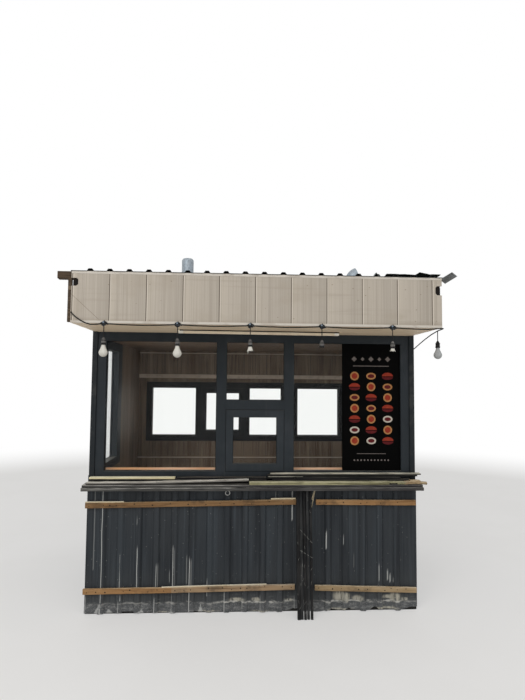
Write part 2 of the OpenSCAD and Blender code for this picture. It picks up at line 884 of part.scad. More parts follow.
module door_frame() {
    color("#363b3f") {
        yz_plate(half_w - frame_depth, frame_depth) difference() {
            rect(door_front, base_h, door_rear, door_top);
            rect(door_front + jamb_w, deck_z, door_rear - jamb_w, door_top - jamb_w);
        }
        for (z = [leaf_z + hinge_in, (leaf_z + leaf_top - hinge_l) / 2, leaf_top - hinge_in - hinge_l])
            hinge(z);
    }
}

leaf_recess = (leaf_t - panel_t) / 2;
door_glass_x = leaf_x + (leaf_t - glass_t) / 2;

// The door's glazed bay, grown by g
module door_bay(g) {
    grown(leaf_front + leaf_face, light_z, leaf_rear - leaf_face, leaf_top - leaf_face, g);
}

module door_leaf() {
    color("#3c4145") {
        difference() {
            yz_plate(leaf_x, leaf_t) difference() {
                rect(leaf_front, leaf_z, leaf_rear, leaf_top);
                door_bay(0);
            }
            yz_plate(leaf_x - cut, door_glass_x + glass_t - leaf_x + cut) door_bay(rebate);
            for (x = [leaf_x - cut, leaf_x + leaf_recess + panel_t])
                yz_plate(x, leaf_recess + cut)
                    rect(leaf_front + leaf_face, panel_z, leaf_rear - leaf_face, lock_rail_z);
        }
        yz_plate(leaf_x, door_glass_x - leaf_x - fit) difference() {
            door_bay(rebate - fit);
            door_bay(0);
        }
    }
}

module door_glass() {
    color("lightblue", 0.3) yz_plate(door_glass_x, glass_t) door_bay(rebate - fit);
}

module door_handle() {
    plate_t = 6;
    plate_w = 32;
    grip_t = 14;
    grip_l = 130;
    grip_h = 18;
    plate = [plate_t, plate_w, handle_plate_l];
    grip = [grip_t, grip_l, grip_h];
    spindle_l = 50;
    spindle_r = 9;
    handle_y = leaf_front + leaf_face / 2;
    handle_over_rail = 60;
    handle_z = lock_rail_z + handle_over_rail;
    color("silver") translate([leaf_x + leaf_t, handle_y, handle_z]) {
        translate([0, -plate.y / 2, -plate.z * 0.7]) cube(plate);
        rotate([0, 90, 0]) cylinder(h = spindle_l, r = spindle_r);
        translate([spindle_l, -spindle_r, -grip.z / 2]) cube(grip);
    }
}

module ceiling() {
    color("#7b6b58") translate([-inner_x + fit, frame_back, ceiling_z])
        cube([2 * (inner_x - fit), inner_y - frame_back, wall_top - ceiling_z]);
}

module soffit() {
    color("#786958") translate([0, 0, soffit_z]) linear_extrude(soffit_t) {
        rect(-fascia_half, fascia_y + fascia_t + trim_t, fascia_half, -half_d);
        rect(-half_w + post_w, fascia_y + fascia_t + trim_t, half_w - post_w, frame_front);
    }
}

rafter_x = [for (i = [-1.5, -0.5, 0.5, 1.5]) i * (fascia_w - 2 * fascia_t - rafter_w) / 3];
// Heights of the purlins' and the rafters' undersides below the roof sheet
purlin_drop = rafter_h;
rafter_drop = 2 * rafter_h;

// A sloping member under the roof sheet, from y0 to y1, between two depths below it
module sloping_bar(x, w, y0, y1, top, bottom) {
    yz_plate(x, w) polygon([[y0, roof_z(y0) - bottom], [y1, roof_z(y1) - bottom],
        [y1, roof_z(y1) - top], [y0, roof_z(y0) - top]]);
}

module roof_rafters() {
    color("#5a4a3a") for (x = rafter_x) {
        translate([x - rafter_w / 2, joist_front, wall_top])
            cube([rafter_w, half_d - joist_front, joist_h]);
        sloping_bar(x - rafter_w / 2, rafter_w, joist_front, half_d, purlin_drop, rafter_drop);
    }
}

module roof_uprights() {
    color("#5a4a3a") for (x = rafter_x, y = [joist_front, -half_d, half_d - rafter_w])
        yz_plate(x - rafter_w / 2, rafter_w)
            polygon([[y, wall_top + joist_h], [y + rafter_w, wall_top + joist_h],
                [y + rafter_w, roof_z(y + rafter_w) - rafter_drop], [y, roof_z(y) - rafter_drop]]);
}

purlin_ys = [for (i = [1 : 3]) joist_front + i * (half_d - purlin_w - joist_front) / 3];

module purlins() {
    l = fascia_w - 2 * fascia_t - 2 * fit;
    color("#5a4a3a") for (y = purlin_ys)
        sloping_bar(-l / 2, l, y, y + purlin_w, fit, purlin_drop);
}

module roof_end_timbers() {
    beam_x = -fascia_half - beam_out;
    timber_gap = 6;
    timber_d = 24;
    side_timber = [side_timber_w, timber_d, fascia_h - trim_t - purlin_drop - timber_gap];
    color("#7a4f38") {
        sloping_bar(beam_x, fascia_half - fascia_t - fit - beam_x, joist_front, joist_front + purlin_w,
            fit, purlin_drop);
        translate([-fascia_half - side_timber.x, joist_front, soffit_z + timber_gap]) cube(side_timber);
    }
}

module roof_sheet() {
    front = fascia_y - roof_nose;
    l = (half_d + eaves - front) / cos(roof_slope);
    color("#2f3234") translate([-fascia_half - roof_lap, front, roof_z(front)])
        rotate([-roof_slope, 0, 0]) rotate([-90, 0, 0])
            profiled_sheet(fascia_w + 2 * roof_lap, l, roof_rib_pitch, roof_rib_pitch, roof_rib_h,
                roof_rib_foot_w, roof_rib_top_w);
}

// Outline of a corner that is broken out of the fascia's right-hand end
module broken_corner(h) {
    polygon([[cut, 0], [-0.7 * notch_w, 0], [-notch_w, 0.2 * h], [-notch_w, 0.8 * h], [-0.75 * notch_w, h],
        [cut, h]]);
}

module fascia() {
    color("#aaa196") difference() {
        xz_plate(fascia_y, fascia_t) difference() {
            rect(-fascia_half, soffit_z + trim_t, fascia_half, roof_z0 - trim_t - fit);
            translate([-fascia_half, fascia_top - left_notch_drop])
                mirror([1, 0]) broken_corner(left_notch_h);
            translate([fascia_half, fascia_top - right_notch_drop]) broken_corner(right_notch_h);
        }
        for (x = [-fascia_half + first_panel_w : panel_pitch : fascia_half - groove_w])
            xz_plate(fascia_y - cut, groove_depth + cut)
                rect(x - groove_w / 2, soffit_z, x + groove_w / 2, fascia_top);
    }
}

// Panel that closes the right-hand side of the roof. Its front corner is cut away over
// the depth of a purlin, down to the foot of the fascia's broken-out corner
module roof_side(notch_drop) {
    front = joist_front + trim_t;
    notch_back = joist_front + purlin_w + fit;
    yz_plate(fascia_half - fascia_t, fascia_t) polygon([[front, wall_top], [half_d, wall_top],
        [half_d, roof_z(half_d) - fit], [notch_back, roof_z(notch_back) - fit],
        [notch_back, fascia_top - notch_drop], [front, fascia_top - notch_drop]]);
}

module roof_sides() {
    back_y = half_d + fit;
    color("#a39a8e") {
        roof_side(right_notch_drop);
        mirror([1, 0, 0]) roof_side(left_notch_drop);
        xz_plate(back_y, fascia_t)
            rect(-fascia_half, wall_top + fit, fascia_half, roof_z(back_y + fascia_t) - fit);
    }
}

// Trim along an edge of the fascia panels, with a flange before and perhaps behind them
module edge_trim(behind) {
    rect(-trim_t, 0, behind ? fascia_t + trim_t : fascia_t, trim_t);
    rect(-trim_t, 0, 0, trim_h);
    if (behind) rect(fascia_t, 0, fascia_t + trim_t, trim_h);
}

module fascia_trims() {
    color("#d8d5cf") yz_plate(-fascia_half, fascia_w) {
        translate([fascia_y, soffit_z]) edge_trim(true);
        translate([fascia_y, roof_z0 - fit]) mirror([0, 1]) edge_trim(false);
    }
}

vent_y = half_d - vent_from_back;

// How far a vent reaches below the tops of the ribs before the roof cuts its foot
foot_l = 40;
// Height of the tops of the roof's ribs over the sheet's back, measured upright
rib_top = roof_rib_h / cos(roof_slope);

// Everything under the tops of the roof sheet's ribs, to cut the vents' feet
module below_roof() {
    reach = 400;
    translate([-half_w, vent_y, roof_z(vent_y) + rib_top + fit])
        rotate([-roof_slope, 0, 0]) translate([0, -reach, -2 * reach]) cube([body_w, 2 * reach, 2 * reach]);
}

// Straight vent with a chamfered, closed top, standing on the origin
module straight_vent() {
    chamfer_h = 14;
    chamfer_in = 10;
    difference() {
        union() {
            translate([0, 0, -foot_l]) cylinder(h = pipe_h + foot_l - chamfer_h, d = pipe_d);
            translate([0, 0, pipe_h - chamfer_h])
                cylinder(h = chamfer_h, d1 = pipe_d, d2 = pipe_d - 2 * chamfer_in);
        }
        translate([0, 0, -foot_l - cut])
            cylinder(h = pipe_h + foot_l - chamfer_h - vent_t, d = pipe_d - 2 * vent_t);
    }
}

// Solid run of the elbow vent at diameter d, starting start below the origin
module elbow_run(d, start) {
    bend_r = elbow_d * 0.7;
    translate([0, 0, -start]) cylinder(h = elbow_h + start, d = d);
    translate([bend_r, 0, elbow_h]) rotate([90, 0, 180])
        rotate_extrude(angle = elbow_bend) translate([bend_r, 0]) circle(d = d);
}

module roof_vents() {
    color("#8f9aa1") difference() {
        translate([0, vent_y, roof_z(vent_y) + roof_rib_h]) {
            translate([pipe_x, 0, 0]) straight_vent();
            translate([elbow_x, 0, 0]) difference() {
                elbow_run(elbow_d, foot_l);
                elbow_run(elbow_d - 2 * vent_t, foot_l + cut);
            }
        }
        below_roof();
    }
}

// A flat sheet w wide from x, which lies on the roof's ribs from y over a length l
module on_ribs(x, y, w, l, t) {
    translate([x, y, roof_z(y) + rib_top + fit]) rotate([-roof_slope, 0, 0]) cube([w, l, t]);
}

module loose_roof_sheet() {
    color("#23302b") on_ribs(fascia_half - loose_sheet_w, fascia_y + fascia_t,
        loose_sheet_w, loose_sheet_l, sheet_t);
}

// Flashing folded up and down again along its length
module verge_flashing() {
    front = fascia_y - roof_nose / 2;
    fold_x = verge_w * 0.65;
    edge_z = verge_rise * 0.3;
    color("#9aa1a3") translate([fascia_half + roof_lap + fit, front, roof_z(front)])
        rotate([-roof_slope, 0, 0]) rotate([90, 0, 0]) translate([0, 0, -verge_l]) linear_extrude(verge_l)
            polygon([[0, 0], [fold_x, verge_rise], [verge_w, edge_z], [verge_w, edge_z + sheet_t],
                [fold_x, verge_rise + sheet_t], [0, sheet_t]]);
}

// Cross product with the vertical, made one unit long
function side_of(t) = let (v = cross(t, [0, 0, 1])) v / norm(v);

function tangent(p, i) = let (a = p[max(i - 1, 0)], b = p[min(i + 1, len(p) - 1)]) (b - a) / norm(b - a);

// A round tube along a list of points
module tube(p, r, sides) {
    rings = [for (i = [0 : len(p) - 1]) let (t = tangent(p, i), s = side_of(t), u = cross(s, t))
        for (k = [0 : sides - 1]) p[i] + r * (cos(360 * k / sides) * s + sin(360 * k / sides) * u)];
    last = len(p) - 1;
    walls = [for (i = [0 : last - 1], k = [0 : sides - 1]) let (n = (k + 1) % sides)
        [i * sides + k, i * sides + n, (i + 1) * sides + n, (i + 1) * sides + k]];
    start = [for (k = [sides - 1 : -1 : 0]) k];
    end = [for (k = [0 : sides - 1]) last * sides + k];
    polyhedron(rings, concat([start], walls, [end]));
}

lamp_x = [for (i = [0 : front_lamps - 1]) first_lamp_x + i * lamp_pitch];

// The cable comes down past the fascia's left end to the first lamp: points measured
// from that lamp's clip, along the front and upwards
cable_lead = [[-225, 78], [-208, 56], [-168, 26], [-128, 4], [-90, -7], [-48, -5], [-20, -1]];
cable_sag = 8;

cable_start = [for (q = cable_lead) [first_lamp_x + q.x, cable_y, cable_z + q.y]];
cable_run = [for (x = lamp_x, k = [0 : 0.25 : 0.75])
    [x + k * lamp_pitch, cable_y, cable_z - cable_sag * sin(180 * k)]];

module light_cable() {
    straight_end = 30;
    turn_in = 8;
    turn_out = 20;
    front = [for (q = cable_run) if (q.x < fascia_half - straight_end) q];
    turn = [[fascia_half - turn_in, cable_y, cable_z],
        [side_cable_x - 0.1 * turn_out, cable_y + 0.3 * turn_out, cable_z],
        [side_cable_x, cable_y + turn_out, cable_z - 0.05 * turn_out],
        [side_cable_x, side_lamp_y, cable_z - corner_dip]];
    hold_in = 12;
    wall_x = half_w + cable_d / 2 + fit;
    wall_y = -half_d + hold_in;
    back = [for (k = [0.25 : 0.25 : 1]) [side_cable_x + k * (wall_x - side_cable_x),
        side_lamp_y + k * (wall_y - side_lamp_y), cable_z - corner_dip - wall_dip * pow(k, 1.3)]];
    color("#1e1e1e") tube(concat(cable_start, front, turn, back), cable_d / 2, 8);
}

// Top of each lamp's lead, where it leaves the cable
lamp_tops = concat([for (x = lamp_x) [x, cable_y, cable_z]],
    [[side_cable_x, side_lamp_y, cable_z - corner_dip]]);

// Length of each lamp's lead, and the holder's top under the cable's centre with it
lead_lengths = concat([for (x = lamp_x) lamp_drop], [corner_lamp_drop]);
function holder_drop(i) = cable_d / 2 + fit + lead_lengths[i];

// Half outline of a lamp holder: a cone, a ring, the barrel and a thin skirt
module holder_outline() {
    r = holder_d / 2;
    cone_h = holder_h / 3;
    ring_h = 5;
    skirt_h = 10;
    polygon([[0, 0], [r / 2, 0], [r - 2, -cone_h], [r, -cone_h], [r, -cone_h - ring_h],
        [r - 2, -cone_h - ring_h], [r - 2, -holder_h + skirt_h], [r, -holder_h + skirt_h],
        [r, -holder_h], [0, -holder_h]]);
}

module lamp_holders() {
    lead_d = 5;
    color("#4c4a48") for (i = [0 : front_lamps]) translate(lamp_tops[i] - [0, 0, holder_drop(i)]) {
        cylinder(h = lead_lengths[i], d = lead_d);
        rotate_extrude() holder_outline();
    }
}

// Half outline of a bulb, from its neck down to depth h below the holder
module bulb_outline(h) {
    r = bulb_d / 2;
    neck_r = holder_d / 2 - 4;
    globe_z = r - bulb_h;
    intersection() {
        union() {
            translate([0, globe_z]) circle(r, $fn = 48);
            polygon([[0, 0], [neck_r, 0], [neck_r + 1, -12], [r - 1.5, globe_z + 9], [0, globe_z]]);
        }
        translate([0, -h]) square([bulb_d, h]);
    }
}

// The third and fifth bulbs are broken off, and the fourth holder is empty
module bulbs() {
    broken_h = bulb_h * 0.42;
    lengths = [bulb_h, bulb_h, broken_h, 0, broken_h];
    color("ivory") for (i = [0 : front_lamps]) {
        h = i == front_lamps ? bulb_h : lengths[i];
        if (h > 0) translate(lamp_tops[i] - [0, 0, holder_drop(i) + holder_h + fit])
            rotate_extrude() bulb_outline(h);
    }
}

base_frame();
floor_deck();
corner_posts();
front_wall();
left_wall();
right_wall();
back_wall();
wall_linings();
front_sheets();
left_sheets();
right_sheets();
back_sheet();
wall_battens();
slat_bundle();
counter_boards();
dark_boards();
grey_boards();
pale_boards();
hanging_ring();
front_window_frame();
hatch_sash();
front_glass();
menu_board();
inner_sill();
side_window_frames();
side_window_glass();
back_window_frames();
back_glass();
door_frame();
door_leaf();
door_glass();
door_handle();
ceiling();
soffit();
roof_rafters();
roof_uprights();
purlins();
roof_end_timbers();
roof_sheet();
fascia();
roof_sides();
fascia_trims();
roof_vents();
loose_roof_sheet();
verge_flashing();
light_cable();
lamp_holders();
bulbs();
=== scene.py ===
"""Street kiosk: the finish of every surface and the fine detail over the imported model.

Lengths are metres in the model's own frame: +Z up, and the serving front faces -Y.
"""
import random
from math import copysign, cos, floor, pi, radians, sin

import bmesh
import bpy
from mathutils import Matrix, Vector
from mathutils.noise import noise as perlin

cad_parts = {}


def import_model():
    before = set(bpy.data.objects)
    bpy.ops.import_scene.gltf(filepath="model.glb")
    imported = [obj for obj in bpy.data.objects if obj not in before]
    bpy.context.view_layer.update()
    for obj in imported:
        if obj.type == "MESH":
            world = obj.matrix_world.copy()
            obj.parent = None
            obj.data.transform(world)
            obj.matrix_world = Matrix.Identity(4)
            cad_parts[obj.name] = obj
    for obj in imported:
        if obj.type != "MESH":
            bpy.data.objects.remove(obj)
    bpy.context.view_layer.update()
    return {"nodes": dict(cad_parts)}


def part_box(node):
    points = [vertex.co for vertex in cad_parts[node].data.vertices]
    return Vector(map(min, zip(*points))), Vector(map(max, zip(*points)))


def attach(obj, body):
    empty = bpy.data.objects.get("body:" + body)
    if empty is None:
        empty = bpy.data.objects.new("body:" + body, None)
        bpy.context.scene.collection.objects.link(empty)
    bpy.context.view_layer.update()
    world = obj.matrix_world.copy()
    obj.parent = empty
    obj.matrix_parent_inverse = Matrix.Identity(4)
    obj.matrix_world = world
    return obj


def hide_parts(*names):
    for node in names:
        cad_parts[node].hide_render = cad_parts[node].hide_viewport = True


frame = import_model()

MM = 0.001

# Camera, at the place that the wall's and the fascia's corners give
CAMERA_AT = Vector((-0.1738, -5.1542, 1.7951))
CAMERA_TURN = radians(3.06)
CAMERA_RISE = radians(3.586)
CAMERA_ROLL = radians(0.506)
SENSOR_H = 36.0
PHOTO_W_PX = 525
PHOTO_H_PX = 700
FOCAL_PX = 527.6

# Outer faces of the walls, behind their sheeting
HALF_W = 1305 * MM
HALF_D = 885 * MM

# Profiled sheeting
RIB_PITCH = 139 * MM
RIB_TOP = 32 * MM
RIB_FOOT = 62 * MM
RIB_H = 18 * MM
# A bead on each side of a valley's middle, and a groove along a rib's top
BEAD_H = 1.8 * MM
BEAD_X = 13 * MM
BEAD_HALF = 6 * MM
GROOVE_DEPTH = 1.2 * MM
GROOVE_HALF = 7 * MM
# The joint of the two front sheets, and each one's first rib from its left edge
SEAM_X = 392 * MM
LEFT_FIRST_RIB = 127 * MM
RIGHT_FIRST_RIB = 198 * MM

# Panels of the fascia and of the lining
PANEL_PITCH = 251 * MM
FIRST_SEAM_X = -1035 * MM
LINING_PITCH = 250 * MM

# Window frames
REBATE = 12 * MM
SEAL = 3 * MM


def linear(color):
    """Linear colour from 8-bit sRGB values."""
    parts = [value / 255.0 for value in color]
    return (*(p / 12.92 if p <= 0.04045 else ((p + 0.055) / 1.055) ** 2.4 for p in parts), 1.0)


def mm(x, y, z):
    """A place or a size in millimetres."""
    return Vector((x * MM, y * MM, z * MM))


def ripple(x, y=0.0, z=0.0):
    """Smooth noise from -1 to 1."""
    return perlin(Vector((x, y, z)))


class Nodes:
    """Adds nodes to a tree and links them."""

    def __init__(self, tree):
        self.tree = tree

    def feed(self, socket, value):
        """Links a socket into an input, or sets the input to a plain value."""
        if hasattr(value, "is_output"):
            self.tree.links.new(value, socket)
        else:
            socket.default_value = value

    def add(self, kind, inputs=None, **settings):
        node = self.tree.nodes.new(kind)
        for key, value in settings.items():
            setattr(node, key, value)
        for key, value in (inputs or {}).items():
            self.feed(node.inputs[key], value)
        return node

    def math(self, operation, first, second=0.0):
        return self.add("ShaderNodeMath", {0: first, 1: second}, operation=operation).outputs[0]

    def seen_share(self, unseen, seen):
        """One value for rays that light the object, another for rays that show, mirror or pass it."""
        path = self.add("ShaderNodeLightPath").outputs
        share = self.math("MAXIMUM", path["Is Camera Ray"], path["Is Glossy Ray"])
        share = self.math("MAXIMUM", share, path["Is Transmission Ray"])
        ends = {"Value": share, "To Min": unseen, "To Max": seen}
        return self.add("ShaderNodeMapRange", ends).outputs["Result"]


class Finish(Nodes):
    """A material built up in layers of colour, roughness and relief. Colours are 8-bit sRGB values."""

    def __init__(self, name, color, roughness, metallic=0.0, specular=0.3):
        self.material = bpy.data.materials.new(name)
        self.material.use_nodes = True
        super().__init__(self.material.node_tree)
        self.color = self.material.diffuse_color = linear(color)
        self.roughness = roughness
        self.height = None
        self.shader = self.tree.nodes["Principled BSDF"]
        self.feed(self.shader.inputs["Metallic"], metallic)
        self.feed(self.shader.inputs["Specular IOR Level"], specular)
        self.position = self.add("ShaderNodeTexCoord").outputs["Object"]

    def split(self, vector, letter):
        return self.add("ShaderNodeSeparateXYZ", {0: vector}).outputs[letter]

    def upward(self):
        """How far a surface faces up."""
        return self.split(self.add("ShaderNodeNewGeometry").outputs["Normal"], "Z")

    def painted(self, name):
        """A mask that was painted on the mesh's points."""
        return self.add("ShaderNodeAttribute", attribute_name=name).outputs["Fac"]

    def stretched(self, scale):
        """The position, scaled alike on all axes by a number or by one number each."""
        scale = scale if isinstance(scale, tuple) else (scale,) * 3
        return self.add("ShaderNodeMapping", {"Vector": self.position, "Scale": scale}).outputs["Vector"]

    def noise(self, scale, detail=4.0, rough=0.55, distortion=0.0):
        """Cloudy noise from 0 to 1; scale is in cells per metre."""
        return self.add("ShaderNodeTexNoise", {
            "Vector": self.stretched(scale), "Scale": 1.0, "Detail": detail, "Roughness": rough,
            "Distortion": distortion}).outputs["Fac"]

    def cells(self, scale):
        """Distance to the nearest point of a scatter; scale is in points per metre."""
        points = {"Vector": self.stretched(scale), "Scale": 1.0}
        return self.add("ShaderNodeTexVoronoi", points).outputs["Distance"]

    def mask(self, value, low, high):
        """0 at low, 1 at high, smooth between."""
        ends = {"From Min": low, "From Max": high}
        if low > high:
            ends = {"From Min": high, "From Max": low, "To Min": 1.0, "To Max": 0.0}
        return self.add("ShaderNodeMapRange", {"Value": value, **ends},
                        interpolation_type="SMOOTHSTEP").outputs["Result"]

    def cover(self, color, mask, amount=1.0):
        """Lays a colour over the colour so far, where the mask is."""
        self.color = self.add("ShaderNodeMix", {
            "Factor": self.math("MULTIPLY", mask, amount), "A": self.color, "B": linear(color)},
            data_type="RGBA").outputs["Result"]

    def stain(self, color, value, low, high, amount=1.0, within=None):
        """Lays a colour where a value goes from low to high, within another mask if there is one."""
        mask = self.mask(value, low, high)
        self.cover(color, mask if within is None else self.math("MULTIPLY", within, mask), amount)

    def gloss(self, roughness, mask):
        """Changes the roughness where the mask is."""
        self.roughness = self.add("ShaderNodeMix", {"Factor": mask, "A": self.roughness, "B": roughness},
                                  data_type="FLOAT").outputs["Result"]

    def relief(self, height, amount):
        """Adds relief; amount is the height in metres of a full-strength mask."""
        raised = self.math("MULTIPLY", height, amount)
        self.height = raised if self.height is None else self.math("ADD", self.height, raised)

    def done(self):
        self.feed(self.shader.inputs["Base Color"], self.color)
        self.feed(self.shader.inputs["Roughness"], self.roughness)
        if self.height is not None:
            bump = self.add("ShaderNodeBump", {"Strength": 1.0, "Distance": 1.0, "Height": self.height})
            self.feed(self.shader.inputs["Normal"], bump.outputs["Normal"])
        return self.material

    def give_way(self, share, other):
        """Lets another shader take this one's place, by a share."""
        mix = self.add("ShaderNodeMixShader", {0: share, 1: self.shader.outputs[0], 2: other.outputs[0]})
        self.feed(self.tree.nodes["Material Output"].inputs["Surface"], mix.outputs[0])


def along(axis, length_scale, cross_scale):
    """Noise scale for grain that runs along an axis."""
    return tuple(length_scale if letter == axis else cross_scale for letter in "XYZ")


def wood(name, base, dark, light, axis="X", knots=0.0, roughness=0.75, dirt=0.0, grain=1.0, top=None,
         painted_shade=None):
    """Timber with grain along an axis, in three tones, and a fourth, a painted highlight, where it faces up.

    The argument for painted shade is (x, x, colour): a darker colour, painted shade, that sets in between two
    places across the kiosk.
    """
    finish = Finish(name, base, roughness, specular=0.15)
    fibre = finish.noise(along(axis, 3.5, 150), detail=6, rough=0.62, distortion=0.4)
    bands = finish.noise(along(axis, 1.1, 32), detail=3, distortion=0.8)
    finish.stain(light, bands, 0.5, 0.72, 0.6 * grain)
    finish.stain(dark, fibre, 0.5, 0.66, 0.6 * grain)
    finish.stain(dark, bands, 0.42, 0.3, 0.5 * grain)
    finish.stain(light, finish.noise((2.1, 2.3, 2.7), detail=2), 0.52, 0.7, 0.3)
    # Painted highlight: the top colour lightens the faces that look up, as if lit from above
    if top:
        painted_top_light = finish.noise(along(axis, 6, 40))
        finish.stain(top, painted_top_light, 0.25, 0.6, 0.95, within=finish.mask(finish.upward(), 0.35, 0.8))
    # Painted shade that sets in across the kiosk
    if painted_shade:
        start, full, color = painted_shade
        finish.stain(color, finish.split(finish.position, "X"), start, full, 0.55)
    if knots:
        eyes = finish.cells(along(axis, 5.0, 14.0))
        finish.stain((44, 28, 18), eyes, 0.2, 0.1, knots)
        finish.stain(dark, eyes, 0.36, 0.2, 0.5 * knots)
    if dirt:
        finish.stain((52, 47, 42), finish.noise((7, 7, 9), detail=5, rough=0.65), 0.48, 0.68, dirt)
    finish.relief(fibre, 0.5 * MM)
    finish.relief(bands, 0.8 * MM)
    return finish.done()


def sheet_steel(name, color, painted=False):
    """Painted profiled steel, with rain streaks, specks and dust towards the ground."""
    finish = Finish(name, color, 0.5, specular=0.14)
    streaks = finish.noise((52, 52, 0.8), rough=0.6)
    bands = finish.noise((8, 8, 0.35), detail=2)
    clouds = finish.noise((2.2, 2.2, 1.6))
    finish.stain((71, 77, 82), streaks, 0.52, 0.7, 0.65)
    finish.stain((26, 29, 33), streaks, 0.46, 0.3, 0.6)
    finish.stain((62, 68, 73), bands, 0.5, 0.64, 0.5)
    finish.stain((29, 32, 36), bands, 0.46, 0.34, 0.5)
    finish.stain((66, 68, 69), clouds, 0.4, 0.8, 0.3)
    finish.stain((150, 150, 146), finish.cells(26), 0.1, 0.05, 0.5)
    height = finish.split(finish.position, "Z")
    grit = finish.noise((75, 75, 110), detail=6, rough=0.8)
    smears = finish.noise((14, 14, 46), detail=6, rough=0.72)
    ragged = finish.noise((9, 9, 22), detail=6, rough=0.7)
    edge = finish.math("ADD", height, finish.math("MULTIPLY", ragged, 0.05))
    splash = finish.mask(edge, 0.118, 0.085)
    rising = finish.mask(edge, 0.22, 0.11)
    finish.stain((84, 86, 87), streaks, 0.34, 0.56, 0.5, within=rising)
    finish.stain((118, 120, 120), smears, 0.54, 0.68, 0.5, within=rising)
    finish.cover((106, 108, 110), splash, 0.65)
    finish.stain((154, 155, 154), smears, 0.5, 0.66, 0.75, within=splash)
    finish.stain((42, 43, 45), smears, 0.46, 0.32, 0.6, within=splash)
    finish.stain((176, 176, 173), grit, 0.54, 0.64, 0.7, within=splash)
    finish.stain((22, 23, 25), grit, 0.44, 0.34, 0.75, within=splash)
    finish.stain((85, 86, 85), height, 0.42, 0.0, 0.25)
    finish.gloss(0.8, splash)
    if painted:
        fine = finish.noise((42, 42, 16), detail=6, rough=0.72)
        runs = finish.noise((60, 60, 7), detail=5, rough=0.6)
        dust = finish.painted("dust")
        finish.stain((176, 172, 158), runs, 0.4, 0.54, 0.85, within=finish.mask(dust, 0.1, 0.6))
        finish.stain((190, 186, 172), fine, 0.42, 0.56, 0.7, within=dust)
        finish.stain((216, 214, 206), smears, 0.42, 0.56, 0.8, within=finish.painted("tide"))
        # Scuffs, and painted highlights where rib edges catch light, in a pale colour
        finish.stain((206, 207, 204), grit, 0.18, 0.4, 0.95, within=finish.painted("scuff_and_highlight"))
    finish.relief(streaks, 0.3 * MM)
    finish.relief(clouds, 1.2 * MM)
    return finish.done()


def plastic_profile(name, color):
    """Coloured window profile, smooth, with dust where it faces up."""
    finish = Finish(name, color, 0.45, specular=0.12)
    clouds = finish.noise((5, 5, 3))
    fine = finish.noise(160, detail=3)
    runs = finish.noise((70, 70, 1.6), detail=5, rough=0.65)
    finish.stain((58, 62, 67), clouds, 0.5, 0.72, 0.5)
    finish.stain((30, 34, 38), clouds, 0.46, 0.28, 0.5)
    finish.stain((92, 92, 90), runs, 0.6, 0.76, 0.3)
    finish.stain((34, 37, 40), runs, 0.42, 0.28, 0.35)
    finish.stain((128, 126, 120), finish.upward(), 0.4, 0.9, 0.6)
    finish.gloss(0.62, finish.mask(fine, 0.45, 0.7))
    finish.relief(fine, 0.15 * MM)
    finish.relief(clouds, 0.5 * MM)
    return finish.done()


def fascia_plastic(name, color):
    """Lining panels with fine vertical lines, dark joints and a paler edge beside each."""
    finish = Finish(name, color, 0.55, specular=0.15)
    x = finish.split(finish.position, "X")
    z = finish.split(finish.position, "Z")
    steps = finish.math("DIVIDE", finish.math("SUBTRACT", x, FIRST_SEAM_X), PANEL_PITCH)
    part = finish.math("FRACT", steps)
    # Each panel has a tone of its own, and gets darker from left to right
    chance = finish.add("ShaderNodeTexWhiteNoise", {"W": finish.math("FLOOR", steps)}, noise_dimensions="1D")
    finish.cover((182, 172, 158), chance.outputs["Value"], 0.35)
    finish.stain((158, 150, 139), part, 0.35, 1.0, 0.5)
    finish.stain((186, 176, 161), part, 0.3, 0.0, 0.5)
    fine = finish.noise((210, 210, 0.6), detail=1)
    broad = finish.noise((30, 30, 0.5), detail=3)
    clouds = finish.noise((3.1, 3.1, 5.2), detail=5)
    finish.stain((146, 138, 127), fine, 0.5, 0.7, 0.4)
    finish.stain((190, 181, 167), fine, 0.48, 0.3, 0.3)
    finish.stain((187, 178, 165), broad, 0.54, 0.68, 0.4)
    finish.stain((154, 145, 133), broad, 0.46, 0.32, 0.4)
    finish.stain((156, 146, 133), finish.noise((1.2, 1.2, 34), detail=3), 0.55, 0.72, 0.35)
    finish.stain((158, 147, 131), clouds, 0.5, 0.7, 0.35)
    finish.stain((112, 98, 80), finish.cells((15, 15, 22)), 0.09, 0.05, 0.6)
    # Painted shade: darker along the lower edge, just over the bottom trim
    finish.stain((140, 128, 112), z, 2.235, 2.2, 0.4)
    finish.stain((208, 199, 186), part, 0.010, 0.016, 0.7, within=finish.mask(part, 0.042, 0.03))
    finish.stain((84, 74, 62), finish.math("ABSOLUTE", finish.math("SUBTRACT", part, 0.5)), 0.486, 0.492, 0.9)
    # A long scratch on a slant near the left end
    offset = finish.math("ADD", finish.math("MULTIPLY", finish.math("SUBTRACT", x, -1.287), 0.6725),
                         finish.math("MULTIPLY", finish.math("SUBTRACT", z, 2.387), 0.74))
    finish.stain((112, 102, 88), finish.math("ABSOLUTE", offset), 1.8 * MM, 0.9 * MM, 0.75,
                 within=finish.mask(x, -1.095, -1.11))
    finish.relief(fine, 0.3 * MM)
    finish.relief(clouds, 0.8 * MM)
    return finish.done()


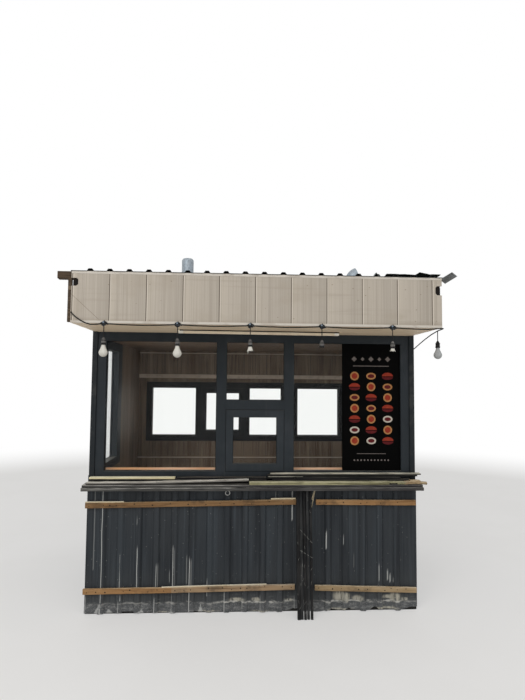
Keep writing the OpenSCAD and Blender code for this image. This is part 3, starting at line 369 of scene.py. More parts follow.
def lining_board(name, color, dark, light):
    """Wood-look wall panels with regular joints."""
    finish = Finish(name, color, 0.55, specular=0.12)
    fibre = finish.noise((90, 90, 2.2), detail=6, rough=0.6, distortion=0.5)
    bands = finish.noise((16, 16, 0.7), detail=3, distortion=0.6)
    finish.stain(light, bands, 0.5, 0.68, 0.7)
    finish.stain(dark, fibre, 0.48, 0.64, 0.7)
    finish.stain(dark, bands, 0.44, 0.3, 0.5)
    finish.stain(dark, finish.noise((1.6, 1.6, 1.1), detail=3), 0.5, 0.66, 0.5)
    run = finish.math("ADD", finish.split(finish.position, "X"), finish.split(finish.position, "Y"))
    phase = finish.math("FRACT", finish.math("DIVIDE", run, LINING_PITCH))
    away = finish.math("ABSOLUTE", finish.math("SUBTRACT", phase, 0.5))
    seam = finish.mask(away, 0.484, 0.495)
    finish.stain(light, away, 0.455, 0.48, 0.5)
    finish.cover((22, 17, 13), seam, 0.9)
    finish.relief(seam, -2 * MM)
    finish.relief(fibre, 0.2 * MM)
    return finish.done()


def soffit_plastic(name, color):
    """Long lining boards under the canopy, dusty and a little stained."""
    finish = Finish(name, color, 0.55, specular=0.25)
    fine = finish.noise((1.2, 150, 150), detail=3)
    stains = finish.noise((2.6, 6.5, 4), detail=5)
    finish.stain((232, 216, 190), stains, 0.52, 0.72, 0.5)
    finish.stain((172, 152, 127), stains, 0.44, 0.26, 0.5)
    finish.stain((160, 140, 115), fine, 0.54, 0.7, 0.35)
    finish.relief(fine, 0.3 * MM)
    return finish.done()


def zinc(name, color, metallic):
    """Dull galvanised steel with a faint spangle and pale bloom."""
    finish = Finish(name, color, 0.45, metallic=metallic, specular=0.4)
    bloom = finish.noise((9, 9, 6), detail=5, rough=0.65)
    finish.stain((178, 188, 196), finish.cells(55), 0.25, 0.6, 0.35)
    finish.stain((196, 199, 200), bloom, 0.5, 0.7, 0.45)
    finish.stain((104, 106, 106), bloom, 0.42, 0.25, 0.45)
    finish.gloss(0.65, finish.mask(bloom, 0.45, 0.7))
    finish.relief(bloom, 0.4 * MM)
    return finish.done()


def dark_steel(name, color, rust):
    """Dark painted steel with rust and dust."""
    finish = Finish(name, color, 0.6, specular=0.12)
    spots = finish.noise(21, detail=6, rough=0.7)
    finish.stain((74, 74, 72), finish.noise(6, detail=5, rough=0.65), 0.5, 0.72, 0.5)
    finish.stain((104, 62, 38), spots, 0.6, 0.72, rust)
    finish.stain((120, 116, 106), finish.upward(), 0.5, 0.95, 0.45)
    finish.relief(spots, 0.5 * MM)
    return finish.done()


def plain(name, color, mottle, scale, roughness=0.5, specular=0.15, metallic=0.0, amount=0.4):
    """A nearly even finish with a slight mottle."""
    finish = Finish(name, color, roughness, metallic=metallic, specular=specular)
    clouds = finish.noise(scale)
    finish.stain(mottle, clouds, 0.48, 0.68, amount)
    finish.relief(clouds, 0.2 * MM)
    return finish.done()


def clear_glass(name):
    """Window glass with a thin film of dust and a weak mirror image. Lamps shine through it."""
    finish = Finish(name, (250.5, 251.6, 250.5), 0.0, specular=0.5)
    finish.feed(finish.shader.inputs["Transmission Weight"], 1.0)
    finish.feed(finish.shader.inputs["IOR"], 1.16)
    finish.gloss(0.03, finish.mask(finish.noise((3, 3, 5), detail=5), 0.5, 0.8))
    finish.done()
    shadow = finish.add("ShaderNodeLightPath").outputs["Is Shadow Ray"]
    finish.give_way(shadow, finish.add("ShaderNodeBsdfTransparent"))
    return finish.material


SHEET = sheet_steel("sheet_paint", (50, 54, 58))
FRONT_SHEET = sheet_steel("front_sheet_paint", (51, 55, 59), painted=True)
ROOF_SHEET = sheet_steel("roof_paint", (30, 32, 33))
WALL_CORE = dark_steel("wall_core_steel", (36, 38, 40), 0.1)
STEEL = dark_steel("frame_steel", (36, 40, 43), 0.15)
BASE_STEEL = dark_steel("base_steel", (36, 35, 34), 0.6)
PROFILE = plastic_profile("window_profile", (42, 47, 51))
SASH = plastic_profile("sash_profile", (46, 51, 55))
INNER_PROFILE = plastic_profile("inner_profile", (30, 32, 34))
GLASS = clear_glass("window_glass")
LINING = lining_board("lining_panels", (128, 110, 93), (76, 60, 49), (156, 139, 120))
CEILING = lining_board("ceiling_panels", (132, 108, 86), (92, 70, 52), (158, 134, 110))
FASCIA = fascia_plastic("fascia_panels", (172, 163, 151))
SOFFIT = soffit_plastic("soffit_boards", (222, 202, 174))
ZINC = zinc("vent_zinc", (142, 152, 160), 0.55)
FLASHING = zinc("flashing_zinc", (112, 114, 114), 0.2)

# Each wood's top colour is a painted highlight on the faces that look up
FLOOR_BOARD = wood("floor_boards", (86, 64, 46), (50, 36, 26), (112, 86, 62), dirt=0.5)
BATTENS = [
    wood("batten_timber", (138, 106, 72), (74, 52, 34), (172, 138, 98), dirt=0.5, top=(206, 180, 144)),
    wood("batten_warm_timber", (158, 120, 80), (92, 62, 38), (186, 150, 108), dirt=0.5, top=(214, 186, 148)),
    wood("batten_weathered", (164, 138, 108), (92, 70, 49), (196, 174, 144), dirt=0.5, top=(216, 202, 180)),
    wood("batten_dusty", (166, 142, 108), (110, 84, 56), (196, 176, 144), dirt=0.4, top=(214, 198, 170)),
]
PALE_SLAT = wood("pale_slat_timber", (220, 204, 170), (178, 152, 114), (236, 226, 202), top=(244, 236, 218))
# Roof timber painted near-black as shade, for where it shows through the fascia's broken corners
SHADED_ROOF_TIMBER = wood("roof_timber", (20, 16, 13), (10, 8, 7), (34, 27, 22), "Y", knots=0.4)
END_TIMBER = wood("end_timber", (76, 63, 50), (28, 22, 17), (132, 116, 96), knots=0.6, dirt=0.7,
                  top=(176, 164, 146))
# The counter is painted darker towards the right, as shade
COUNTER = wood("counter_timber", (78, 77, 75), (18, 17, 17), (150, 148, 143), grain=1.4, top=(190, 187, 180),
               painted_shade=(-0.25, 0.1, (36, 33, 37)))
DARK_BOARD = wood("dark_timber", (24, 24, 25), (9, 9, 9), (58, 57, 55), top=(92, 88, 82))
GREY_BOARD = wood("grey_timber", (122, 119, 113), (52, 50, 47), (190, 186, 178), grain=1.3,
                  top=(232, 228, 218))
THIN_BOARD = wood("thin_timber", (84, 82, 75), (18, 18, 17), (86, 83, 76), top=(244, 240, 220))
PALE_BOARD = wood("pale_timber", (214, 202, 160), (148, 137, 102), (238, 228, 190), top=(255, 250, 220))
GREEN_BOARD = wood("green_timber", (150, 146, 112), (72, 66, 44), (200, 196, 160), dirt=0.3, grain=1.3,
                   top=(216, 212, 180))
RAW_LUMP = wood("raw_offcut", (150, 129, 99), (92, 74, 52), (184, 166, 136), dirt=0.3, top=(190, 172, 142))
# Painted light: the sill takes the bright orange of wood in sun
SUNLIT_SILL = wood("sunlit_sill_timber", (244, 168, 112), (214, 128, 76), (252, 210, 168), roughness=0.4,
            top=(255, 200, 150))
# Two copies of one black slat finish, the second lighter: painted light on every other slat
SLATS = [wood("slat_timber", (29, 29, 30), (7, 7, 8), (66, 66, 65), "Z", dirt=0.1),
         wood("grey_slat_timber_painted_lit", (42, 43, 44), (13, 13, 14), (86, 86, 85), "Z", dirt=0.1)]

SCRATCH = plain("scratched_timber", (138, 138, 134), (84, 84, 82), 60, roughness=0.8, amount=0.6)
ROOM_TRIM = plain("room_trim_plastic", (206, 190, 172), (150, 132, 112), 20)
# Black rubber, and the same black for strips of painted shade
GASKET_AND_SHADE = plain("gasket_rubber_and_painted_shade", (12, 12, 13), (24, 24, 24), 30, roughness=0.8, specular=0.08)
TRIM = plain("trim_plastic", (198, 191, 180), (170, 160, 147), 9, amount=0.6)
FELT = plain("roofing_felt", (30, 36, 33), (52, 60, 55), 34, roughness=0.85, specular=0.08, amount=0.5)
CABLE = plain("cable_rubber", (20, 21, 21), (44, 46, 44), 30, roughness=0.6, specular=0.12)
KNOT = [plain("clip_tape", (22, 23, 25), (74, 80, 86), 75, amount=0.6),
        plain("clip_plastic", (120, 134, 148), (160, 170, 180), 60)]
# The third socket finish is paler: a painted highlight on a ring
SOCKETS = [plain("socket_plastic", (86, 84, 82), (142, 140, 136), 60),
           plain("dark_socket_plastic", (24, 23, 23), (46, 44, 43), 60, roughness=0.55),
           plain("socket_ring_painted_highlight", (112, 110, 107), (70, 68, 66), 80, roughness=0.45)]
BULBS = [plain("bulb_plastic", (206, 203, 194), (184, 179, 168), 22, roughness=0.35),
         plain("bulb_dusty", (158, 160, 160), (198, 199, 197), 25, roughness=0.35)]
TUBE_LIGHT = [plain("tube_light_body", (242, 226, 200), (216, 198, 170), 8),
              plain("tube_light_cap", (250, 246, 234), (228, 220, 204), 20, roughness=0.45)]
RING = plain("ring_paint", (206, 206, 203), (112, 110, 106), 90, roughness=0.4)
HANDLE = plain("handle_metal", (176, 176, 176), (140, 140, 140), 70, roughness=0.35, metallic=0.9)
SCREW = plain("screw_steel", (34, 28, 24), (74, 52, 36), 120, roughness=0.6)
SCREW_HEAD = plain("sheet_screw", (60, 64, 66), (110, 104, 96), 90, metallic=0.3)
MENU_BLACK = plain("menu_black", (3, 3, 3), (10, 9, 9), 8, specular=0.03)
RED, TAN, CREAM, WINE, GREY = range(5)
MENU_COLORS = [plain(name, color, mottle, 60, specular=0.08) for name, color, mottle in (
    ("menu_red", (138, 48, 34), (168, 76, 48)),
    ("menu_tan", (164, 116, 72), (192, 150, 104)),
    ("menu_cream", (188, 180, 168), (156, 146, 132)),
    ("menu_wine", (84, 24, 28), (108, 40, 38)),
    ("menu_grey", (112, 105, 102), (84, 78, 75)))]


def keep(material, *nodes):
    """Gives CAD nodes their finish."""
    for node in nodes:
        for holder in frame["nodes"][node].material_slots:
            holder.link = "DATA"
            holder.material = material


def object_from(bm, name, material, replaced=None, smooth_angle=30.0, bevel=0.0, thickness=0.0,
                offset=-1.0):
    """Makes a piece that rides on the kiosk from a bmesh."""
    bmesh.ops.recalc_face_normals(bm, faces=bm.faces)
    mesh = bpy.data.meshes.new(name)
    bm.to_mesh(mesh)
    bm.free()
    obj = bpy.data.objects.new(name, mesh)
    bpy.context.scene.collection.objects.link(obj)
    for entry in (material if isinstance(material, list) else [material]):
        mesh.materials.append(entry)
    for face in mesh.polygons:
        face.use_smooth = True
    mesh.set_sharp_from_angle(angle=radians(smooth_angle))
    if bevel:
        edges = obj.modifiers.new("rounded_edges", "BEVEL")
        edges.width = bevel
        edges.segments = 2
        edges.limit_method = "ANGLE"
        edges.angle_limit = radians(35)
        edges.harden_normals = True
    if thickness:
        shell = obj.modifiers.new("thickness", "SOLIDIFY")
        shell.thickness = thickness
        shell.offset = offset
    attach(obj, "root")
    if replaced:
        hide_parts(replaced)


def softened(material, slot, bevel, *nodes):
    """Copies of CAD nodes with their edges rounded, which stand for the nodes."""
    for node in nodes:
        bm = bmesh.new()
        bm.from_mesh(frame["nodes"][node].data)
        bmesh.ops.remove_doubles(bm, verts=bm.verts, dist=0.01 * MM)
        bmesh.ops.dissolve_limit(bm, angle_limit=radians(0.5), verts=bm.verts, edges=bm.edges)
        for face in bm.faces:
            face.material_index = 0
        object_from(bm, node + "_dressed", material, replaced=node, bevel=bevel)


def block(bm, low, high):
    """Adds a box between two corners."""
    size = Vector(high) - Vector(low)
    middle = (Vector(high) + Vector(low)) / 2
    bmesh.ops.create_cube(bm, size=1.0, matrix=Matrix.Translation(middle) @ Matrix.Diagonal((*size, 1.0)))


def span_rings(bm, rings, index=0):
    """Fills the faces between closed rings of points."""
    for a, b in zip(rings, rings[1:]):
        for k in range(len(a)):
            n = (k + 1) % len(a)
            bm.faces.new((a[k], a[n], b[n], b[k])).material_index = index


def span_columns(bm, columns):
    """Fills the faces between open columns of points."""
    for a, b in zip(columns, columns[1:]):
        for k in range(len(a) - 1):
            bm.faces.new((a[k], b[k], b[k + 1], a[k + 1]))


def beam(bm, start, end, across, up, seed, step=0.03, wear=1.5, wobble=0.8, index=0):
    """Adds a long timber with worn edges.

    across and up are its full width and thickness. wear and wobble are in millimetres.
    """
    start, end, across, up = Vector(start), Vector(end), Vector(across), Vector(up)
    length = (end - start).length
    count = max(2, round(length / step))
    half_w, half_t = across.length / 2, up.length / 2
    side, top = across.normalized(), up.normalized()
    rings = []
    for i in range(count + 1):
        run = i / count * length
        middle = start.lerp(end, i / count)
        cut = wear * MM * (1.0 + 0.9 * ripple(run * 16, seed, 0.3))
        outline = [(-half_w + cut, -half_t), (half_w - cut, -half_t), (half_w, -half_t + cut),
                   (half_w, half_t - cut), (half_w - cut, half_t), (-half_w + cut, half_t),
                   (-half_w, half_t - cut), (-half_w, -half_t + cut)]
        ring = []
        for k, (u, v) in enumerate(outline):
            inward = abs(wobble * MM * ripple(run * 7, seed + 1.7 * (k // 2), 5.1))
            u -= copysign(inward, u)
            v -= copysign(inward, v)
            ring.append(bm.verts.new(middle + side * u + top * v))
        rings.append(ring)
    for cap in (reversed(rings[0]), rings[-1]):
        bm.faces.new(list(cap)).material_index = index
    span_rings(bm, rings, index)


def lathe(bm, outline, origin, segments=32, index=0, jag=None):
    """Turns an outline of (radius, height) points, in millimetres, round a vertical axis."""
    rings = []
    for step, (radius, height) in enumerate(outline):
        ring = []
        for k in range(segments):
            angle = 2 * pi * k / segments
            lift = jag(step, k) if jag else 0.0
            ring.append(bm.verts.new(origin + mm(radius * cos(angle), radius * sin(angle), height + lift)))
        rings.append(ring)
    span_rings(bm, rings, index)


def seal_ring(bm, low, high, normal, front, back):
    """Adds a ring of four mitred strips inside a window opening in the X-Z or Y-Z plane."""
    (u0, v0), (u1, v1) = low, high
    outer = [(u0, v0), (u1, v0), (u1, v1), (u0, v1)]
    inner = [(u0 + SEAL, v0 + SEAL), (u1 - SEAL, v0 + SEAL), (u1 - SEAL, v1 - SEAL), (u0 + SEAL, v1 - SEAL)]
    loops = [[bm.verts.new((depth, u, v) if normal == "X" else (u, depth, v)) for u, v in corners]
             for corners, depth in ((outer, front), (inner, front), (inner, back), (outer, back))]
    span_rings(bm, loops + loops[:1])


def disc(bm, centre, radius, normal, height, sides=10, index=0):
    """Adds a low round head, such as a screw's, with a chamfered rim."""
    turn = Vector(normal).to_track_quat("Z", "Y").to_matrix().to_4x4()
    at = Matrix.Translation(Vector(centre)) @ turn @ Matrix.Translation((0, 0, height / 2))
    made = bmesh.ops.create_cone(bm, cap_ends=True, segments=sides, radius1=radius, radius2=radius * 0.72,
                                 depth=height, matrix=at)
    for vertex in made["verts"]:
        for face in vertex.link_faces:
            face.material_index = index


# Front sheeting

# Bright scuffs and drips on the front sheets, and painted highlights where rib edges catch light: x, lower z,
# upper z, half width in millimetres, strength
SCUFFS_AND_HIGHLIGHTS = [
    (-1.304, 0.01, 0.15, 3, 0.8), (-1.250, 0.34, 0.96, 6, 0.28), (-1.186, 0.09, 0.96, 4, 0.95),
    (-1.044, 0.19, 0.46, 3.5, 0.75), (-1.036, 0.10, 0.15, 4, 0.7), (-1.050, 0.01, 0.11, 4, 0.8),
    (-0.917, 0.68, 0.75, 2.5, 0.5), (-0.911, 0.19, 0.515, 4, 1.0), (-0.774, 0.005, 0.13, 5, 1.0),
    (-0.764, 0.19, 0.385, 4, 0.75), (-0.750, 0.19, 0.39, 7, 0.25), (-0.660, 0.23, 0.33, 4, 0.5),
    (-0.640, 0.02, 0.155, 3, 0.6), (-0.634, 0.19, 0.525, 4.5, 1.0), (-0.621, 0.20, 0.51, 8, 0.3),
    (-0.528, 0.22, 0.445, 8, 0.3), (-0.505, 0.01, 0.43, 4.5, 1.0), (-0.490, 0.20, 0.42, 9, 0.25),
    (-0.366, 0.13, 0.27, 3, 0.7), (-0.231, 0.005, 0.17, 4, 0.95), (-0.091, 0.03, 0.13, 3, 0.6),
    (0.051, 0.02, 0.14, 3, 0.5), (0.170, 0.87, 0.95, 3, 0.6), (0.303, 0.71, 0.95, 6.5, 1.0),
    (0.321, 0.03, 0.13, 3, 0.6), (0.575, 0.49, 0.63, 6, 1.0), (0.714, 0.51, 0.60, 3.5, 0.7),
    (0.800, 0.33, 0.45, 2.5, 0.3), (0.999, 0.24, 0.37, 8, 1.0), (1.072, 0.23, 0.32, 9, 0.75),
    (1.092, 0.21, 0.29, 9, 0.8), (1.118, 0.21, 0.26, 8, 0.5),
]
# Heavy dust patches near the ground: x, z, half width, half height, strength
DUST_PATCHES = [
    (-0.13, 0.095, 0.09, 0.022, 0.9), (0.02, 0.095, 0.05, 0.022, 0.9), (0.28, 0.088, 0.05, 0.018, 0.7),
    (0.69, 0.115, 0.08, 0.055, 1.0), (0.745, 0.10, 0.03, 0.05, 1.0), (0.83, 0.095, 0.07, 0.032, 0.8),
    (1.06, 0.105, 0.05, 0.02, 0.9), (1.13, 0.10, 0.065, 0.05, 1.0), (1.21, 0.083, 0.04, 0.02, 0.8),
    (-0.35, 0.015, 0.12, 0.01, 0.6), (-0.70, 0.008, 0.09, 0.01, 0.7), (0.05, 0.012, 0.10, 0.012, 0.7),
    (1.05, 0.02, 0.16, 0.012, 0.9), (0.68, 0.015, 0.16, 0.012, 0.7),
]
# Torn flaps at the lower edge, whitened, with a painted highlight where they bend out: left x, right x, x of
# the tip, its height
FLAPS = [(-1.236, -1.208, -1.186, 0.088), (-1.196, -1.182, -1.184, 0.088), (-1.142, -1.092, -1.126, 0.038),
         (-0.925, -0.855, -0.870, 0.028), (-0.432, -0.398, -0.413, 0.064), (-0.665, -0.610, -0.640, 0.020)]
FLAP_STRENGTH = 0.62
# The dust's upper line along the front: x, z, strength
TIDE = [(-1.31, 0.07, 0.1), (-0.90, 0.079, 0.35), (-0.60, 0.078, 0.5), (-0.50, 0.083, 0.7),
        (-0.40, 0.069, 0.3), (-0.30, 0.070, 0.6), (-0.22, 0.082, 0.9), (0.05, 0.078, 1.0),
        (0.20, 0.074, 0.8), (0.33, 0.090, 0.8), (0.42, 0.075, 0.2), (0.55, 0.073, 0.6),
        (0.66, 0.074, 1.0), (0.80, 0.078, 1.0), (0.98, 0.070, 0.9), (1.10, 0.072, 1.0),
        (1.22, 0.068, 0.9), (1.31, 0.066, 0.4)]
# Places where the sheets' lower edge is bent outwards: x, half width, reach in millimetres, height
BENT_EDGES = [(-1.28, 0.05, 14, 0.12), (-1.19, 0.06, 12, 0.09), (-0.88, 0.07, 9, 0.05),
              (-0.60, 0.14, 12, 0.08), (-0.25, 0.16, 12, 0.07), (0.10, 0.2, 22, 0.10),
              (0.50, 0.13, 30, 0.10), (0.89, 0.09, 20, 0.09), (1.15, 0.10, 16, 0.08)]
# Places where the lower edge is broken away: x, half width, height in millimetres
BROKEN_EDGES = [(-0.97, 0.10, 9), (-0.47, 0.05, 6), (0.335, 0.07, 20), (0.62, 0.05, 8), (0.75, 0.035, 16),
                (0.965, 0.05, 22), (1.30, 0.12, 16), (0.03, 0.04, 7)]
# Height up to which the sheets' points lie close together
FINE_TOP = 0.56


def hump(value, centre, half):
    """1 at the centre, falling smoothly to 0 at the half width."""
    part = min(1.0, abs(value - centre) / half)
    return (1.0 - part * part) ** 2


def rib_height(x, first, last):
    """Height of the sheet's outer face over its back, with rounded bends."""
    index = max(0, min(round((x - first) / RIB_PITCH), round((last - first) / RIB_PITCH)))
    away = abs(x - (first + index * RIB_PITCH))
    if away >= RIB_FOOT / 2:
        return BEAD_H * hump(abs(away - RIB_PITCH / 2), BEAD_X, BEAD_HALF)
    if away <= RIB_TOP / 2:
        return RIB_H - GROOVE_DEPTH * hump(away, 0, GROOVE_HALF)
    part = (RIB_FOOT / 2 - away) / (RIB_FOOT / 2 - RIB_TOP / 2)
    return RIB_H * part * part * (3 - 2 * part)


def between(table, x):
    """Values of a table of rows (x, ...) at x, taken between its rows."""
    for a, b in zip(table, table[1:]):
        if x <= b[0]:
            part = max(0.0, (x - a[0]) / (b[0] - a[0]))
            return [u + (v - u) * part for u, v in zip(a[1:], b[1:])]
    return list(table[-1][1:])


def sheet_columns(x0, x1):
    """Places across a sheet, each with the centre and number of its mark from the table of scuffs and painted
    highlights, or None and 0 on the regular grid.
    """
    marks = [(x + side * half * MM, x, number) for number, (x, _, _, half, _) in enumerate(SCUFFS_AND_HIGHLIGHTS)
             for side in (-1, 0, 1) if x0 + half * MM < x < x1 - half * MM]
    count = round((x1 - x0) / (7 * MM))
    grid = [(x0 + (x1 - x0) * i / count, None, 0) for i in range(count + 1)]
    kept = [place for k, place in enumerate(grid)
            if k in (0, count) or all(abs(place[0] - mark[0]) > 2.2 * MM for mark in marks)]
    columns = []
    for entry in sorted(kept + marks, key=lambda place: place[0]):
        if not columns or entry[0] - columns[-1][0] > 0.8 * MM:
            columns.append(entry)
    return columns


def front_sheeting():
    """The two front sheets, with rounded ribs and a ragged, bent lower edge."""
    low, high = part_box("front_sheets")
    rows = [low.z + 5 * MM * i for i in range(31)]
    rows += [rows[-1] + (FINE_TOP - rows[-1]) * i / 24 for i in range(1, 25)]
    rows += [FINE_TOP + (high.z - FINE_TOP) * i / 18 for i in range(1, 19)]
    bm = bmesh.new()
    dust = bm.verts.layers.float.new("dust")
    tide = bm.verts.layers.float.new("tide")
    scuff_and_highlight = bm.verts.layers.float.new("scuff_and_highlight")
    for x0, x1, first in ((low.x, SEAM_X, low.x + LEFT_FIRST_RIB),
                          (SEAM_X + 0.5 * MM, high.x, SEAM_X + RIGHT_FIRST_RIB)):
        last = first + floor((x1 - RIB_FOOT / 2 - first) / RIB_PITCH) * RIB_PITCH
        columns = []
        for place, centre, number in sheet_columns(x0, x1):
            ragged = 4 * MM * max(0.0, ripple(place * 6)) + 5 * MM * max(0.0, ripple(place * 37, 3))
            ragged += sum(tall * MM * hump(place, x, half) for x, half, tall in BROKEN_EDGES)
            line_z, line_strength = between(TIDE, place)
            line_z += 7 * MM * ripple(place * 24, 1, 8) + 4 * MM * ripple(place * 70, 4, 8)
            line_half = max(4 * MM, 11 * MM + 11 * MM * ripple(place * 31, 2, 5))
            marks = [mark for mark in SCUFFS_AND_HIGHLIGHTS if centre == mark[0] == place]
            column = []
            for z in rows:
                over = z - low.z
                height = z + ragged * max(0.0, 1 - over / 0.12) ** 2
                x = place + (2.6 * MM * ripple(height * 7, number * 3.7, 6) if centre is not None else 0.0)
                rise = rib_height(x, first, last)
                rise -= min(rise, 2.4 * MM * max(0.0, ripple(x * 6, z * 5, 2)))
                rise += sum(reach * MM * hump(x, bend, half) * max(0.0, 1 - over / tall) ** 2
                            for bend, half, reach, tall in BENT_EDGES)
                vertex = bm.verts.new((x, high.y - min(rise, 38 * MM) - 0.6 * MM, height))
                vertex[dust] = min(1.0, sum(strength * hump(x, at_x, half_w) * hump(height, at_z, half_h)
                                            for at_x, at_z, half_w, half_h, strength in DUST_PATCHES))
                vertex[tide] = line_strength * hump(height, line_z, line_half)
                for left, right, tip_x, tip_z in FLAPS:
                    part = (height - low.z) / (tip_z - low.z)
                    if part < 1 and left + (tip_x - left) * part < x < right + (tip_x - right) * part:
                        vertex[scuff_and_highlight] = FLAP_STRENGTH
                for _, z0, z1, _, strength in marks:
                    if z0 < height < z1:
                        vertex[scuff_and_highlight] = max(vertex[scuff_and_highlight], strength * min(1.0, (z1 - height) / 0.03))
                column.append(vertex)
            columns.append(column)
        span_columns(bm, columns)
    object_from(bm, "front_sheeting", FRONT_SHEET, replaced="front_sheets",
                smooth_angle=50, thickness=0.7 * MM, offset=0.0)


front_sheeting()


def battens():
    """The battens across the front, their screws, and the thin strips that lie on them."""
    low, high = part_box("wall_battens")
    depth = high.y - low.y
    middle = (high.y + low.y) / 2
    height = 42 * MM
    upper, lower = 822, 164
    bm = bmesh.new()
    screws = bmesh.new()
    chance = random.Random(4)
    # Each batten: left end, right end, lower edge at the left and at the right in millimetres, finish
    for seed, (x0, x1, z0, z1, finish) in enumerate((
            (low.x, 330 * MM, upper - 11, upper + 12, 0), (490 * MM, high.x, upper + 10, upper + 3, 1),
            (low.x, -640 * MM, lower - 6, lower - 1, 1), (-642 * MM, 322 * MM, lower - 1, lower + 12, 2),
            (482 * MM, high.x, lower + 4, lower - 23, 3))):
        z0 *= MM
        z1 *= MM
        beam(bm, (x0, middle, z0 + height / 2), (x1, middle, z1 + height / 2), (0, depth, 0), (0, 0, height),
             seed * 3.1, wobble=1.8, wear=2, index=finish)
        x = x0 + 30 * MM
        while x < x1 - 20 * MM:
            z = z0 + (z1 - z0) * (x - x0) / (x1 - x0) + height * chance.uniform(0.3, 0.72)
            disc(screws, (x, low.y + 2.2 * MM, z), chance.uniform(4.5, 7.5) * MM, (0, -1, 0), 2.2 * MM)
            x += chance.choice((0.05, 0.07, 0.139, 0.11))
    object_from(bm, "battens", BATTENS, replaced="wall_battens")
    object_from(screws, "batten_screws", SCREW)
    strips = bmesh.new()
    # Each strip: left and right end, z at both, thickness in millimetres
    for number, (x0, x1, z0, z1, thick) in enumerate((
            (low.x, -1.02, 0.858, 0.860, 9), (0.13, 0.326, 0.880, 0.883, 11),
            (-0.715, -0.36, 0.205, 0.213, 8), (-0.40, 0.10, 0.212, 0.220, 6))):
        beam(strips, (x0, middle, z0), (x1, middle, z1), (0, depth - 4 * MM, 0), mm(0, 0, thick),
             number + 1.3)
    object_from(strips, "batten_splices", PALE_SLAT)


battens()


def leaning_slats():
    """The slats that lean against the joint of the front sheets, scratched, and splinters beside them."""
    low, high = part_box("slat_bundle")
    pitch = (high.x - low.x + 0.6 * MM) / 5
    depth = 28 * MM
    bm = bmesh.new()
    chips = bmesh.new()
    chance = random.Random(11)
    # Each slat's width and the shift of its centre from its even place, in millimetres
    for i, (width, shift) in enumerate(((23.2, 0.0), (22.5, -1.0), (19, 0.0), (19, 0.0), (18.5, 1.5))):
        width *= MM
        x = low.x + pitch * (i + 0.5) + shift * MM
        top = high.z - 9 * MM * (i % 3) - 2 * MM
        foot = Vector((x, low.y + 5 * MM * (i % 2) + depth / 2, 2 * MM))
        head = Vector((x, high.y - depth / 2 - 1 * MM, top))
        face = Vector((1, 0, 0)).cross((head - foot).normalized()).normalized()
        # Every other slat takes the lighter copy, as painted light
        beam(bm, foot, head, (width, 0, 0), face * (depth - 2 * MM), 7.7 * i, step=0.02, wear=1.6, wobble=1.4,
             index=i % 2)
        front = face * (-1 if face.y > 0 else 1) * (depth / 2 - 0.8 * MM)
        for _ in range(5):
            at = foot.lerp(head, chance.uniform(0.05, 0.95))
            at.x += chance.uniform(-0.35, 0.35) * width
            slope = Vector((chance.uniform(-0.9, 0.9) ** 3, 0, 1)).normalized()
            reach = slope * chance.uniform(8, 34) * MM / 2
            beam(chips, at + front - reach, at + front + reach, mm(1.8, 0, 0), mm(0, 1.6, 0),
                 chance.random() * 9, step=0.01, wear=0.3, wobble=0.3)
        # Two long scratches that cross the slats on a slant
        for z_left, fall in ((0.655, 1.1), (0.50, 0.6)):
            z = z_left - (i - 0.5) * pitch * fall
            at = foot.lerp(head, (z - foot.z) / (head.z - foot.z))
            reach = Vector((width * 0.45, 0, -width * 0.45 * fall))
            if i:
                beam(chips, at + front - reach, at + front + reach, mm(0, 1.8, 0), mm(0, 0, 2.6), i + z,
                     step=0.01, wear=0.3, wobble=0.4)
    object_from(bm, "leaning_slats", SLATS, replaced="slat_bundle")
    object_from(chips, "slat_scratches", SCRATCH)
    # Pale splinters that hang from the counter beside the slats
    splinters = bmesh.new()
    top = Vector((high.x + 6 * MM, high.y - 14 * MM, 0.955))
    for k, (shift, dx, dz, wide) in enumerate(((20, -34, -110, 4), (22, -30, -150, 5), (12, -12, -60, 4))):
        start = top + mm(shift, -2 * k, -12 * k)
        beam(splinters, start, start + mm(dx, 0, dz), mm(wide, 0, 0), mm(0, 2, 0), k + 0.5,
             step=0.012, wear=0.5, wobble=1.5)
    object_from(splinters, "pale_splinters", PALE_SLAT)


leaning_slats()


def counter():
    """The two counter boards, notched round the walls at their ends."""
    low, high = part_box("counter_boards")
    inner_edge = -825 * MM
    lower_t, upper_t = 26 * MM, 20 * MM
    end, lap = 22 * MM, 2 * MM
    bm = bmesh.new()
    for z, t, inset, gap, seed in ((low.z, lower_t, 0.0, 0.6 * MM, 2.2),
                                   (low.z + lower_t, upper_t, 6 * MM, 3 * MM, 5.2)):
        y0 = low.y + inset
        left, right = low.x + inset, high.x - inset
        mid_z = z + t / 2 + gap / 2
        for x0, x1, y1, step, shift in ((left + end - lap, right - end + lap, inner_edge, 0.03, 0),
                                        (left, left + end, -HALF_D, 0.01, 1),
                                        (right - end, right, -HALF_D, 0.01, 1)):
            mid_y = y0 + (y1 - y0) / 2
            beam(bm, (x0, mid_y, mid_z), (x1, mid_y, mid_z), (0, y1 - y0, 0), (0, 0, t - gap), seed + shift,
                 step=step, wear=2.5, wobble=1.6)
    object_from(bm, "counter_dressed", COUNTER, replaced="counter_boards")


